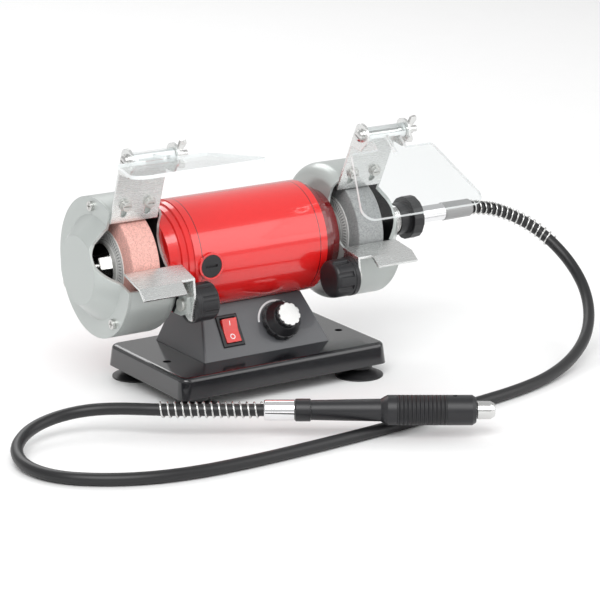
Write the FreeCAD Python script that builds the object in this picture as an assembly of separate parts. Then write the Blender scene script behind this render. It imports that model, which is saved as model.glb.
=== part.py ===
"""Small bench grinder with two guarded wheels, a speed control and a flexible drive shaft.

Lengths are millimetres and angles are degrees.  The machine is laid out from the middle of its
base: X runs along the wheel spindle, Y points to the rear and Z points up from the bench.
Every piece is moved by ORIGIN when it is written, which centres the machine over the origin.
"""

import FreeCAD, Part
import math
import os
from FreeCAD import Placement, Rotation, Vector

# ---------------------------------------------------------------- driving dimensions
# Base tray and feet
BASE_LENGTH = 160.0
BASE_DEPTH = 100.0
BASE_BOTTOM_Z = 8.8
BASE_HEIGHT = 14.6
BASE_FLARE = 1.4
BASE_CORNER = 6.6
BASE_EDGE_ROUND = 3.2
SHEET_WALL = 2.4
BENCH_HOLE_RADIUS = 2.75
BENCH_HOLE_SPACING = 136.4
BENCH_HOLE_Y = -8.8
FOOT_RADIUS = 16.4
FOOT_NECK_RADIUS = 5.5
FOOT_STEM_RADIUS = 4.0
FOOT_INSET_X = 15.5
FOOT_INSET_Y = 10.0
COVER_PLATE_THICKNESS = 1.2

# Motor
MOTOR_X = -3.8
MOTOR_Y = 12.1
MOTOR_Z = 89.6
SLEEVE_RADIUS = 38.1
SLEEVE_WALL = 2.2
SLEEVE_LENGTH = 103.4
BELL_LENGTH = 14.6
BELL_END_RADIUS = 30.4
BEARING_RADIUS = 11.0
BEARING_WIDTH = 7.0
SHAFT_RADIUS = 4.0
ARMATURE_RADIUS = 21.0
ARMATURE_LENGTH = 48.0
FIELD_INNER_RADIUS = 30.0
COMMUTATOR_RADIUS = 11.0
COMMUTATOR_LENGTH = 13.0
BRUSH_X = -44.0
BRUSH_RADIUS = 3.5
BRUSH_CAP_RADIUS = 7.7
BRUSH_BOSS_HEIGHT = 1.4

# Wheels and guards
WHEEL_RADIUS = 37.5
WHEEL_WIDTH = 20.0
WHEEL_BORE_RADIUS = 5.0
LEFT_WHEEL_X = -101.6
RIGHT_WHEEL_X = 74.0
BLOTTER_RADIUS = 25.0
BLOTTER_THICKNESS = 0.5
FLANGE_RADIUS = 15.0
FLANGE_THICKNESS = 2.4
WHEEL_NUT_FLATS = 14.0
GUARD_RADIUS = 47.3
GUARD_WIDTH = 40.2
GUARD_WALL = 1.7
GUARD_EDGE_ROUND = 8.8
DISH_HEIGHT = 12.5
DISH_BASE_RADIUS = 35.2
DISH_TOP_RADIUS = 23.1
COVER_SCREW_CIRCLE = 41.2

# Spark brackets and visors
BRACKET_WIDTH = 35.0
BRACKET_THICKNESS = 1.6
BRACKET_HEIGHT = 46.0
BRACKET_FORWARD = 19.6
BRACKET_ABOVE = 34.0
LEFT_BRACKET_LEAN = 20.0
RIGHT_BRACKET_LEAN = 27.0
BRACKET_SLOT_SPACING = 17.6
BRACKET_SLOT_RADIUS = 2.3
BRACKET_SLOT_LOW = 4.0
BRACKET_SLOT_HIGH = 17.2
BRACKET_SCREW_HEIGHT = 13.7
HINGE_HEIGHT = 51.5
HINGE_FORWARD = 7.6
HINGE_BOLT_RADIUS = 2.2
EAR_RADIUS = 8.0
VISOR_THICKNESS = 2.3
VISOR_NEAR_WIDTH = 65.0
VISOR_FAR_WIDTH = 101.0
VISOR_START = 14.0
VISOR_LENGTH = 54.0
VISOR_BARREL_RADIUS = 5.0
VISOR_CORNER = 8.0
LEFT_VISOR_RISE = 5.0
RIGHT_VISOR_RISE = -40.0

# Tool rests
REST_WIDTH = 42.4
REST_SHEET = 1.6
REST_REAR_GAP = 2.0
REST_DEPTH = 20.5
REST_LIP = 9.0
REST_LIP_ANGLE = 28.0
LEFT_REST_HEIGHT = 94.4
RIGHT_REST_HEIGHT = 87.6
LEFT_REST_SLOPE = 17.0
RIGHT_REST_SLOPE = 9.0
STUD_RADIUS = 2.5
STUD_FORWARD = 48.2
STUD_BELOW = 19.8
REST_SLOT_TRAVEL = 6.0
KNOB_RADIUS = 13.2
KNOB_LENGTH = 17.5

# Pedestal, switch and speed dial
PEDESTAL_HALF_LENGTH = 49.5
PEDESTAL_FRONT_Y = -26.4
PEDESTAL_REAR_Y = 39.6
PEDESTAL_TOP_Z = 63.8
PEDESTAL_SIDE_TAPER = 0.3176
PEDESTAL_FRONT_TAPER = 0.662
PEDESTAL_REAR_TAPER = 0.324
SWITCH_X = -23.7
SWITCH_UP = 19.1
SWITCH_WIDTH = 16.4
SWITCH_HEIGHT = 22.6
ROCKER_TILT = 7.0
ROCKER_PIN_RADIUS = 1.0
ROCKER_PIN_DEPTH = 1.6
DIAL_X = 15.4
DIAL_UP = 19.3
DIAL_RADIUS = 13.5
DIAL_CAP_RADIUS = 8.1
DIAL_HEIGHT = 15.5
DIAL_STEM_RADIUS = 3.0

# Flexible shaft and handpiece
NOZZLE_RADIUS = 10.0
NOZZLE_LENGTH = 21.0
FLEX_NUT_RADIUS = 15.1
FLEX_NUT_NECK_RADIUS = 11.3
FERRULE_RADIUS = 6.0
FERRULE_LENGTH = 57.5
HOSE_DIAMETER = 8.0
SPRING_OUTER_RADIUS = 5.65
HANDPIECE_ANGLE = -32.7
HANDPIECE_HEIGHT = 18.3
HANDLE_RADIUS = 9.65
HANDLE_NECK_RADIUS = 7.0
COLLET_NUT_RADIUS = 5.7
COLLET_BORE_RADIUS = 1.6

# Clearances
SEAT_GAP = 0.2
RUNNING_GAP = 0.05
SLIDE_GAP = 0.1

# Route of the hose, from the ferrule at the machine to the ferrule of the handpiece.
HOSE_ROUTE = [
    (210.1, 11.6, 87.5),
    (226.6, 7.2, 80.9),
    (240.4, -1.7, 72.1),
    (249.7, -14.3, 61.1),
    (254.1, -30.3, 48.4),
    (251.9, -48.4, 35.8),
    (241.5, -68.2, 23.7),
    (222.2, -89.1, 13.8),
    (194.7, -108.4, 7.2),
    (161.7, -125.4, 4.4),
    (125.4, -137.0, 4.1),
    (88.0, -143.6, 4.1),
    (49.5, -149.2, 4.1),
    (11.0, -154.0, 4.1),
    (-28.6, -158.1, 4.1),
    (-66.0, -161.0, 4.1),
    (-101.2, -162.7, 4.1),
    (-134.2, -161.9, 4.1),
    (-163.9, -156.0, 4.1),
    (-190.0, -143.5, 4.1),
    (-212.0, -124.2, 4.1),
    (-220.0, -99.1, 4.6),
    (-215.4, -75.5, 6.4),
    (-202.7, -58.4, 8.8),
    (-186.7, -48.9, 11.6),
    (-168.2, -46.3, 14.0),
    (-150.1, -51.1, 16.0),
    (-134.6, -63.0, 17.5),
    (-114.4, -82.7, 18.3),
    (-87.1, -100.3, 18.3),
]
HANDPIECE_START = (-60.3, -117.7)
SPRING_RUNS_AT_MACHINE = 4
SPRING_RUNS_AT_HANDPIECE = 2
HOSE_BEND_SHARE = 0.45

# ---------------------------------------------------------------- places that follow from them
BASE_TOP_Z = BASE_BOTTOM_Z + BASE_HEIGHT
FOOT_X = BASE_LENGTH / 2 - FOOT_INSET_X
FOOT_Y = BASE_DEPTH / 2 - FOOT_INSET_Y
SLEEVE_HALF = SLEEVE_LENGTH / 2
SLEEVE_INNER = SLEEVE_RADIUS - SLEEVE_WALL
SIDES = ("left", "right")
OUTWARD = {"left": -1.0, "right": 1.0}
GUARD_INNER_X = {s: MOTOR_X + OUTWARD[s] * (SLEEVE_HALF + BELL_LENGTH) for s in SIDES}
GUARD_OUTER_X = {s: GUARD_INNER_X[s] + OUTWARD[s] * GUARD_WIDTH for s in SIDES}
DISH_X = {s: GUARD_OUTER_X[s] + OUTWARD[s] * DISH_HEIGHT for s in SIDES}
WHEEL_LOW_X = {"left": LEFT_WHEEL_X, "right": RIGHT_WHEEL_X}
WHEEL_MID_X = {s: WHEEL_LOW_X[s] + WHEEL_WIDTH / 2 for s in SIDES}
BRACKET_LEAN = {"left": LEFT_BRACKET_LEAN, "right": RIGHT_BRACKET_LEAN}
VISOR_RISE = {"left": LEFT_VISOR_RISE, "right": RIGHT_VISOR_RISE}
REST_HEIGHT = {"left": LEFT_REST_HEIGHT, "right": RIGHT_REST_HEIGHT}
REST_SLOPE = {"left": LEFT_REST_SLOPE, "right": RIGHT_REST_SLOPE}
STUD_Y = MOTOR_Y - STUD_FORWARD
STUD_Z = MOTOR_Z - STUD_BELOW
PANEL_SLOPE = math.degrees(math.atan2(1.0, PEDESTAL_FRONT_TAPER))
NOZZLE_END_X = DISH_X["right"] + NOZZLE_LENGTH
FLEX_NUT_END_X = NOZZLE_END_X + 7.9
FERRULE_END_X = NOZZLE_END_X + FERRULE_LENGTH
VISOR_TAPER = (VISOR_FAR_WIDTH - VISOR_NEAR_WIDTH) / 2 / VISOR_LENGTH
VISOR_TRIM = VISOR_CORNER * (VISOR_TAPER + math.sqrt(1 + VISOR_TAPER ** 2) - 1)
VISOR_EDGE_X = WHEEL_MID_X["left"] - VISOR_FAR_WIDTH / 2 + VISOR_TRIM


def hinge_point(side):
    """Middle of the visor hinge of one side."""
    lean = math.radians(BRACKET_LEAN[side])
    y = MOTOR_Y - BRACKET_FORWARD - HINGE_HEIGHT * math.sin(lean) - HINGE_FORWARD * math.cos(lean)
    z = MOTOR_Z + BRACKET_ABOVE + HINGE_HEIGHT * math.cos(lean) - HINGE_FORWARD * math.sin(lean)
    return Vector(WHEEL_MID_X[side], y, z)


VISOR_REACH = (VISOR_START + VISOR_LENGTH) * math.cos(math.radians(LEFT_VISOR_RISE))
VISOR_FRONT_Y = hinge_point("left").y - VISOR_REACH
ORIGIN = Vector(
    -(VISOR_EDGE_X + FLEX_NUT_END_X) / 2,
    -(VISOR_FRONT_Y + MOTOR_Y + GUARD_RADIUS) / 2,
    0.0,
)


# ---------------------------------------------------------------- shape helpers
def save(name, shape):
    """Move a finished piece to the object's frame and write it as one STEP file."""
    moved = shape.copy()
    moved.translate(ORIGIN)
    moved.exportStep(os.path.join("parts", name + ".step"))


def box(x0, x1, y0, y1, z0, z1):
    """Box between two corners."""
    return Part.makeBox(x1 - x0, y1 - y0, z1 - z0, Vector(x0, y0, z0))


def rod(radius, start, end):
    """Cylinder from one point to another."""
    along = Vector(end) - Vector(start)
    return Part.makeCylinder(radius, along.Length, Vector(start), along)


def spindle_rod(radius, x0, x1):
    """Cylinder on the motor's axis."""
    return rod(radius, (min(x0, x1), MOTOR_Y, MOTOR_Z), (max(x0, x1), MOTOR_Y, MOTOR_Z))


def spindle_ring(outer, inner, x0, x1):
    """Tube on the motor's axis."""
    return spindle_rod(outer, x0, x1).cut(spindle_rod(inner, min(x0, x1) - 1, max(x0, x1) + 1))


def polygon_face(points):
    """Flat face bounded by straight lines through the points."""
    corners = [Vector(p) for p in points]
    return Part.Face(Part.makePolygon(corners + [corners[0]]))


def spindle_turned(points):
    """Turned solid on the motor's axis from (x, radius) points."""
    face = polygon_face([(x, MOTOR_Y, MOTOR_Z + radius) for x, radius in points])
    return face.revolve(Vector(0, MOTOR_Y, MOTOR_Z), Vector(1, 0, 0), 360)


def upright_turned(x, y, points):
    """Turned solid on a vertical axis from (radius, z) points."""
    face = polygon_face([(x + radius, y, z) for radius, z in points])
    return face.revolve(Vector(x, y, 0), Vector(0, 0, 1), 360)


def turned_on_x(points):
    """Turned solid on the X axis from (x, radius) points."""
    face = polygon_face([(x, 0, radius) for x, radius in points])
    return face.revolve(Vector(0, 0, 0), Vector(1, 0, 0), 360)


def rounded_rectangle(half_x, half_y, radius, z):
    """Closed wire of a rectangle with round corners, at one height."""
    lines = []
    k = radius * (1 - math.sqrt(0.5))
    signs = ((1, -1), (1, 1), (-1, 1), (-1, -1))
    for i, (sx, sy) in enumerate(signs):
        turn_y = i % 2 == 0
        ends = (
            Vector(sx * (half_x - radius), sy * half_y, z),
            Vector(sx * half_x, sy * (half_y - radius), z),
        )
        first, last = ends if turn_y else ends[::-1]
        middle = Vector(sx * (half_x - k), sy * (half_y - k), z)
        lines.append(Part.Arc(first, middle, last).toShape())
        nx, ny = signs[(i + 1) % 4]
        if turn_y:
            follow = Vector(nx * half_x, ny * (half_y - radius), z)
        else:
            follow = Vector(nx * (half_x - radius), ny * half_y, z)
        lines.append(Part.LineSegment(last, follow).toShape())
    return Part.Wire(lines)


def loft(wires):
    """Ruled solid through closed wires."""
    return Part.makeLoft(wires, True, True)


def lobed_prism(count, radius, depth, height, z=0.0):
    """Upright prism whose outline is a circle with evenly spaced shallow flutes."""
    solid = Part.makeCylinder(radius, height, Vector(0, 0, z))
    flute = 2 * math.pi * radius / count * 0.30
    reach = radius + flute - depth
    for i in range(count):
        angle = 2 * math.pi * i / count
        at = Vector(reach * math.cos(angle), reach * math.sin(angle), z - 1)
        solid = solid.cut(Part.makeCylinder(flute, height + 2, at))
    return solid


def placed(shape, origin, axis, angle):
    """Copy of a shape turned about an axis through zero and then moved."""
    copy = shape.copy()
    copy.Placement = Placement(Vector(origin), Rotation(Vector(axis), angle))
    return copy


def group(shapes):
    """Several separate solids kept together as one node."""
    return Part.makeCompound(shapes)


def fuse(shapes):
    """One solid from overlapping shapes."""
    return shapes[0].multiFuse(shapes[1:]).removeSplitter()


def hexagon(flats, height):
    """Hexagonal prism along +X from zero."""
    reach = flats / math.sqrt(3)
    corners = [
        (0, reach * math.cos(math.radians(60 * i)), reach * math.sin(math.radians(60 * i)))
        for i in range(6)
    ]
    return polygon_face(corners).extrude(Vector(height, 0, 0))


# ---------------------------------------------------------------- base
def bench_hole_places():
    """The two bench holes, left and right."""
    return [(side * BENCH_HOLE_SPACING / 2, BENCH_HOLE_Y) for side in (-1, 1)]


def foot_places():
    """Each foot's name and place."""
    return {
        "foot_front_left": (-FOOT_X, -FOOT_Y),
        "foot_front_right": (FOOT_X, -FOOT_Y),
        "foot_rear_left": (-FOOT_X, FOOT_Y),
        "foot_rear_right": (FOOT_X, FOOT_Y),
    }


def base_screw_places():
    """The screws that close the base, between the feet."""
    return [(sx * (FOOT_X - 26.0), sy * FOOT_Y) for sx in (-1, 1) for sy in (-1, 1)]


POST_BOTTOM_Z = BASE_BOTTOM_Z + 2.0


def base_tray():
    """Pressed tray with a rolled edge, open below, with posts for feet and screws."""
    half_x = BASE_LENGTH / 2
    half_y = BASE_DEPTH / 2
    outer = loft([
        rounded_rectangle(half_x + BASE_FLARE, half_y + BASE_FLARE, BASE_CORNER, BASE_BOTTOM_Z),
        rounded_rectangle(half_x, half_y, BASE_CORNER, BASE_TOP_Z),
    ])
    rim = [e for e in outer.Edges if e.BoundBox.ZMin > BASE_TOP_Z - 0.01]
    outer = outer.makeFillet(BASE_EDGE_ROUND, rim)
    inner = loft([
        rounded_rectangle(
            half_x + BASE_FLARE - SHEET_WALL,
            half_y + BASE_FLARE - SHEET_WALL,
            BASE_CORNER - SHEET_WALL,
            BASE_BOTTOM_Z - 0.01,
        ),
        rounded_rectangle(
            half_x - SHEET_WALL - 0.4,
            half_y - SHEET_WALL - 0.4,
            BASE_CORNER - SHEET_WALL,
            BASE_TOP_Z - SHEET_WALL,
        ),
    ])
    tray = outer.cut(inner)
    top = BASE_TOP_Z - SHEET_WALL + 0.5
    posts = [rod(6.0, (x, y, POST_BOTTOM_Z), (x, y, top)) for x, y in bench_hole_places()]
    posts += [rod(6.0, (x, y, POST_BOTTOM_Z + 2.0), (x, y, top)) for x, y in foot_places().values()]
    posts += [rod(3.6, (x, y, POST_BOTTOM_Z), (x, y, top)) for x, y in base_screw_places()]
    tray = fuse([tray] + posts)
    for x, y in bench_hole_places():
        tray = tray.cut(rod(BENCH_HOLE_RADIUS, (x, y, 0), (x, y, BASE_TOP_Z + 1)))
    for x, y in foot_places().values():
        tray = tray.cut(rod(FOOT_STEM_RADIUS + SLIDE_GAP, (x, y, 0), (x, y, BASE_TOP_Z - 3.0)))
    for x, y in base_screw_places():
        tray = tray.cut(rod(1.5, (x, y, 0), (x, y, BASE_TOP_Z - 4.0)))
    return tray


def foot(x, y):
    """Rubber suction foot: a thin flared cup, a waist, a collar and a stem."""
    top = POST_BOTTOM_Z + 2.0
    return upright_turned(x, y, [
        (0, 3.0),
        (FOOT_RADIUS * 0.55, 2.4),
        (FOOT_RADIUS - 2.6, 0.0),
        (FOOT_RADIUS, 0.0),
        (FOOT_RADIUS, 0.9),
        (FOOT_RADIUS * 0.72, 3.0),
        (FOOT_NECK_RADIUS + 1.2, 4.4),
        (FOOT_NECK_RADIUS, 5.0),
        (FOOT_NECK_RADIUS, 5.8),
        (FOOT_NECK_RADIUS + 3.4, 5.9),
        (FOOT_NECK_RADIUS + 3.4, BASE_BOTTOM_Z - 0.3),
        (FOOT_NECK_RADIUS - 0.6, BASE_BOTTOM_Z + 0.2),
        (FOOT_NECK_RADIUS - 0.6, top),
        (FOOT_STEM_RADIUS, top),
        (FOOT_STEM_RADIUS, BASE_TOP_Z - 4.0),
        (0, BASE_TOP_Z - 4.0),
    ])


def bottom_plate():
    """Sheet that closes the tray from below."""
    low = POST_BOTTOM_Z - COVER_PLATE_THICKNESS
    half_x = BASE_LENGTH / 2 - SHEET_WALL
    half_y = BASE_DEPTH / 2 - SHEET_WALL
    wire = rounded_rectangle(half_x, half_y, BASE_CORNER - SHEET_WALL, low)
    plate = Part.Face(wire).extrude(Vector(0, 0, COVER_PLATE_THICKNESS))
    for x, y in bench_hole_places():
        plate = plate.cut(rod(BENCH_HOLE_RADIUS + 0.4, (x, y, 0), (x, y, BASE_TOP_Z)))
    for x, y in foot_places().values():
        plate = plate.cut(rod(FOOT_NECK_RADIUS + SLIDE_GAP, (x, y, 0), (x, y, BASE_TOP_Z)))
    for x, y in base_screw_places():
        plate = plate.cut(rod(1.7, (x, y, 0), (x, y, BASE_TOP_Z)))
    return plate


def base_screws():
    """Four cross-head screws that hold the bottom plate."""
    head_top = POST_BOTTOM_Z - COVER_PLATE_THICKNESS
    screws = []
    for x, y in base_screw_places():
        screw = fuse([
            rod(2.8, (x, y, head_top - 1.4), (x, y, head_top)),
            rod(1.45, (x, y, head_top - 0.2), (x, y, head_top + 8.0)),
        ])
        for sx, sy in ((1.8, 0.4), (0.4, 1.8)):
            screw = screw.cut(box(x - sx, x + sx, y - sy, y + sy, 0, head_top - 0.7))
        screws.append(screw)
    return group(screws)


# ---------------------------------------------------------------- pedestal and controls
def pedestal_outline(z, inset):
    """Rectangle of the pedestal at one height, as a wire."""
    rise = z - BASE_TOP_Z
    half = PEDESTAL_HALF_LENGTH - PEDESTAL_SIDE_TAPER * rise - inset
    front = PEDESTAL_FRONT_Y + PEDESTAL_FRONT_TAPER * rise + inset * 1.2
    rear = PEDESTAL_REAR_Y - PEDESTAL_REAR_TAPER * rise - inset
    corners = [(-half, front), (half, front), (half, rear), (-half, rear)]
    points = [Vector(x, y, z) for x, y in corners]
    return Part.makePolygon(points + [points[0]])


def on_panel(shape, x, up, out=0.0):
    """Place a shape made at zero, with Y up the panel and Z out of it."""
    angle = math.radians(PANEL_SLOPE)
    y = PEDESTAL_FRONT_Y + up * math.cos(angle) - out * math.sin(angle)
    z = BASE_TOP_Z + up * math.sin(angle) + out * math.cos(angle)
    return placed(shape, (x, y, z), (1, 0, 0), PANEL_SLOPE)


PANEL_THICKNESS = 2.2


def pedestal_housing():
    """Hollow tapered pedestal with a sloping control panel and a saddle for the motor."""
    shell = loft([pedestal_outline(BASE_TOP_Z, 0), pedestal_outline(PEDESTAL_TOP_Z, 0)])
    upright = [e for e in shell.Edges if e.BoundBox.ZLength > 1]
    shell = shell.makeFillet(1.6, upright)
    roof = MOTOR_Z - SLEEVE_RADIUS - 3.0
    hollow = loft([
        pedestal_outline(BASE_TOP_Z - 0.01, PANEL_THICKNESS),
        pedestal_outline(roof, PANEL_THICKNESS),
    ])
    shell = shell.cut(hollow).cut(spindle_rod(SLEEVE_RADIUS + SEAT_GAP, -100, 100))
    switch_hole = box(
        -SWITCH_WIDTH / 2 + 1.0 - SEAT_GAP, SWITCH_WIDTH / 2 - 1.0 + SEAT_GAP,
        -SWITCH_HEIGHT / 2 + 1.0 - SEAT_GAP, SWITCH_HEIGHT / 2 - 1.0 + SEAT_GAP,
        -6, 3,
    )
    shell = shell.cut(on_panel(switch_hole, SWITCH_X, SWITCH_UP))
    dial_hole = Part.makeCylinder(BUSH_RADIUS + SEAT_GAP, 9, Vector(0, 0, -6))
    shell = shell.cut(on_panel(dial_hole, DIAL_X, DIAL_UP))
    return shell.cut(rod(GLAND_RADIUS + SEAT_GAP, (GLAND_X, 20, GLAND_Z), (GLAND_X, 50, GLAND_Z)))


BUSH_RADIUS = 3.8
GLAND_X = 22.0
GLAND_Z = 34.0
GLAND_RADIUS = 4.4


def switch_frame():
    """Snap-in switch body with its bezel and the pocket that the rocker moves in."""
    half_w = SWITCH_WIDTH / 2
    half_h = SWITCH_HEIGHT / 2
    bezel = box(-half_w, half_w, -half_h, half_h, 0.0, 1.4)
    bezel = bezel.makeFillet(0.9, [e for e in bezel.Edges if e.BoundBox.ZMin > 1.3])
    body = box(1.0 - half_w, half_w - 1.0, 1.0 - half_h, half_h - 1.0, -13.0, 0.2)
    terminals = [box(-3.0, 3.0, y - 0.4, y + 0.4, -18.0, -12.5) for y in (-5.5, 0.0, 5.5)]
    frame = fuse([bezel, body] + terminals)
    pocket = box(-half_w + 2.3, half_w - 2.3, -half_h + 2.2, half_h - 2.2, -6.0, 3.0)
    pin_hole = rod(
        ROCKER_PIN_RADIUS + RUNNING_GAP,
        (1.3 - half_w, 0, -ROCKER_PIN_DEPTH),
        (half_w - 1.3, 0, -ROCKER_PIN_DEPTH),
    )
    return on_panel(frame.cut(pocket).cut(pin_hole), SWITCH_X, SWITCH_UP)


def switch_rocker():
    """Rocker button, tipped towards its off end, on two pins in the frame's pocket."""
    half_w = SWITCH_WIDTH / 2 - 2.6
    half_h = SWITCH_HEIGHT / 2 - 3.1
    side = polygon_face([
        (-half_w, -half_h, 3.0),
        (-half_w, 0, 1.6),
        (-half_w, half_h, 3.0),
        (-half_w, half_h - 0.6, 0.2),
        (-half_w, 3.5, -3.2),
        (-half_w, -3.5, -3.2),
        (-half_w, 0.6 - half_h, 0.2),
    ])
    pin_reach = half_w + 1.2
    pins = rod(
        ROCKER_PIN_RADIUS,
        (-pin_reach, 0, -ROCKER_PIN_DEPTH),
        (pin_reach, 0, -ROCKER_PIN_DEPTH),
    )
    rocker = fuse([side.extrude(Vector(2 * half_w, 0, 0)), pins])
    rocker.rotate(Vector(0, 0, -ROCKER_PIN_DEPTH), Vector(1, 0, 0), ROCKER_TILT)
    return on_panel(group([rocker]), SWITCH_X, SWITCH_UP).Solids[0]


def speed_potentiometer():
    """Potentiometer body behind the panel, its threaded bush, washer and nut."""
    body = Part.makeCylinder(8.0, 9.0, Vector(0, 0, -PANEL_THICKNESS - 10.2))
    bush = Part.makeCylinder(BUSH_RADIUS, 7.6, Vector(0, 0, -PANEL_THICKNESS - 2.0))
    step = Part.makeCylinder(5.4, 1.2, Vector(0, 0, -PANEL_THICKNESS - 1.4))
    lugs = box(-6.0, 6.0, -12.0, -6.0, -PANEL_THICKNESS - 8.0, -PANEL_THICKNESS - 7.2)
    pot = fuse([body, bush, step, lugs])
    bore = Part.makeCylinder(DIAL_STEM_RADIUS + RUNNING_GAP, 12.0, Vector(0, 0, -6.6))
    return on_panel(pot.cut(bore), DIAL_X, DIAL_UP)


def speed_dial():
    """Fluted dial with a wide skirt, and the stem that turns in the potentiometer."""
    skirt_low = 4.0
    skirt = lobed_prism(11, DIAL_RADIUS, 0.7, 4.2, 1.2)
    shoulder = Part.makeCone(DIAL_RADIUS - 0.9, DIAL_CAP_RADIUS + 1.0, 5.6, Vector(0, 0, 5.4))
    grip = lobed_prism(11, DIAL_CAP_RADIUS + 0.5, 0.6, DIAL_HEIGHT - 7.2, 6.0)
    dial = fuse([skirt, shoulder, grip])
    dial = dial.cut(Part.makeCylinder(BUSH_RADIUS + 0.6, skirt_low + 0.2, Vector(0, 0, 0)))
    stem = Part.makeCylinder(DIAL_STEM_RADIUS, 11.0, Vector(0, 0, -5.6))
    return on_panel(fuse([dial, stem]), DIAL_X, DIAL_UP)


def dial_cap():
    """Pale scalloped cap on the end of the dial."""
    cap = lobed_prism(10, DIAL_CAP_RADIUS, 0.7, 1.7, DIAL_HEIGHT - 1.2)
    return on_panel(cap, DIAL_X, DIAL_UP)


def circuit_board():
    """Speed-control board on four standoffs, with a heat sink, choke and capacitor."""
    board_z = BASE_TOP_Z + 4.0
    parts = [box(-34, 2, 4, 30, board_z, board_z + 1.6)]
    for x in (-31, -1):
        for y in (7, 27):
            parts.append(rod(1.8, (x, y, BASE_TOP_Z), (x, y, board_z + 0.4)))
    parts.append(box(-32, -20, 10, 12, board_z + 1.2, board_z + 11))
    parts.append(rod(4.0, (-8, 20, board_z + 1.2), (-8, 20, board_z + 10)))
    parts.append(rod(5.0, (-22, 20, board_z + 1.2), (-22, 20, board_z + 7)))
    return fuse(parts)


def cable_gland():
    """Bushing in the rear wall for the supply lead."""
    wall_y = PEDESTAL_REAR_Y - PEDESTAL_REAR_TAPER * (GLAND_Z - BASE_TOP_Z)
    inside = rod(GLAND_RADIUS, (GLAND_X, wall_y - 5.0, GLAND_Z), (GLAND_X, wall_y + 4.0, GLAND_Z))
    collar = rod(6.8, (GLAND_X, wall_y + 2.3, GLAND_Z), (GLAND_X, wall_y + 5.0, GLAND_Z))
    boot = Part.makeCone(5.6, 4.0, 13.0, Vector(GLAND_X, wall_y + 4.8, GLAND_Z), Vector(0, 1, 0))
    gland = fuse([inside, collar, boot])
    return gland.cut(rod(2.6, (GLAND_X, wall_y - 6, GLAND_Z), (GLAND_X, wall_y + 20, GLAND_Z)))


# ---------------------------------------------------------------- motor
def brush_axis(front, near, far, radius):
    """Cylinder along a brush's axis, between two distances from the spindle."""
    sign = -1 if front else 1
    start = (BRUSH_X, MOTOR_Y + sign * near, MOTOR_Z)
    return rod(radius, start, (BRUSH_X, MOTOR_Y + sign * far, MOTOR_Z))


BRUSH_SIDES = (True, False)


def motor_sleeve():
    """Round motor housing with a raised boss for each brush."""
    low = MOTOR_X - SLEEVE_HALF
    high = MOTOR_X + SLEEVE_HALF
    tube = spindle_rod(SLEEVE_RADIUS, low, high)
    bosses = [
        brush_axis(f, SLEEVE_INNER - 6.0, SLEEVE_RADIUS + BRUSH_BOSS_HEIGHT, BRUSH_CAP_RADIUS + 1.5)
        for f in BRUSH_SIDES
    ]
    sleeve = fuse([tube] + bosses).cut(spindle_rod(SLEEVE_INNER, low - 1, high + 1))
    for front in BRUSH_SIDES:
        sleeve = sleeve.cut(
            brush_axis(front, 10, SLEEVE_RADIUS + 10, BRUSH_CAP_RADIUS + SLIDE_GAP)
        )
    return sleeve


def end_bell(side):
    """Stepped end casting that carries one bearing."""
    out = OUTWARD[side]
    seam = MOTOR_X + out * SLEEVE_HALF
    end = GUARD_INNER_X[side]

    def x(distance):
        """Place a distance outward from the sleeve's end."""
        return seam + out * distance

    spigot = SLEEVE_INNER - SEAT_GAP
    bearing_x = end - out * (1.8 + BEARING_WIDTH)
    pocket = BEARING_RADIUS + 0.02
    profile = [
        (x(-4.0), spigot),
        (x(0.05), spigot),
        (x(0.05), SLEEVE_RADIUS - 0.7),
        (x(3.6), SLEEVE_RADIUS - 1.3),
        (x(3.9), SLEEVE_RADIUS - 2.9),
        (x(7.4), SLEEVE_RADIUS - 3.7),
        (x(7.7), SLEEVE_RADIUS - 5.3),
        (end, BELL_END_RADIUS),
        (end, SHAFT_RADIUS + 1.2),
        (end - out * 1.8, SHAFT_RADIUS + 1.2),
        (end - out * 1.8, pocket),
        (bearing_x, pocket),
        (bearing_x, pocket + 3.4),
        (end - out * 3.0, pocket + 4.2),
        (end - out * 3.0, BELL_END_RADIUS - 3.0),
        (x(2.0), SLEEVE_RADIUS - 6.4),
        (x(-4.0), spigot - 2.2),
    ]
    return spindle_turned(profile)


def bearings():
    """The two ball bearings, each as one ring with covered sides."""
    rings = []
    for side in SIDES:
        out = OUTWARD[side]
        outer = GUARD_INNER_X[side] - out * 1.8
        rings.append(
            spindle_ring(BEARING_RADIUS, SHAFT_RADIUS + 0.03, outer, outer - out * BEARING_WIDTH)
        )
    return group(rings)


FIELD_HALF = ARMATURE_LENGTH / 2
FIELD_X = MOTOR_X + 2.0
POLE_OUTER = 24.8
POLE_INNER = 21.8
SHOE_HALF = 15.4


def field_core():
    """Laminated stator ring with an upper and a lower pole shoe."""
    low = FIELD_X - FIELD_HALF
    high = FIELD_X + FIELD_HALF
    ring = spindle_ring(SLEEVE_INNER - SEAT_GAP, FIELD_INNER_RADIUS, low, high)
    shoes = spindle_ring(POLE_OUTER, POLE_INNER, low, high)
    shoes = shoes.cut(box(low - 1, high + 1, MOTOR_Y + SHOE_HALF, MOTOR_Y + 40, 0, 200))
    shoes = shoes.cut(box(low - 1, high + 1, MOTOR_Y - 40, MOTOR_Y - SHOE_HALF, 0, 200))
    neck = box(low, high, MOTOR_Y - 7, MOTOR_Y + 7, MOTOR_Z - 32, MOTOR_Z + 32)
    neck = neck.cut(spindle_rod(POLE_OUTER - 1.2, low - 1, high + 1))
    return fuse([ring, shoes, neck])


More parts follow.
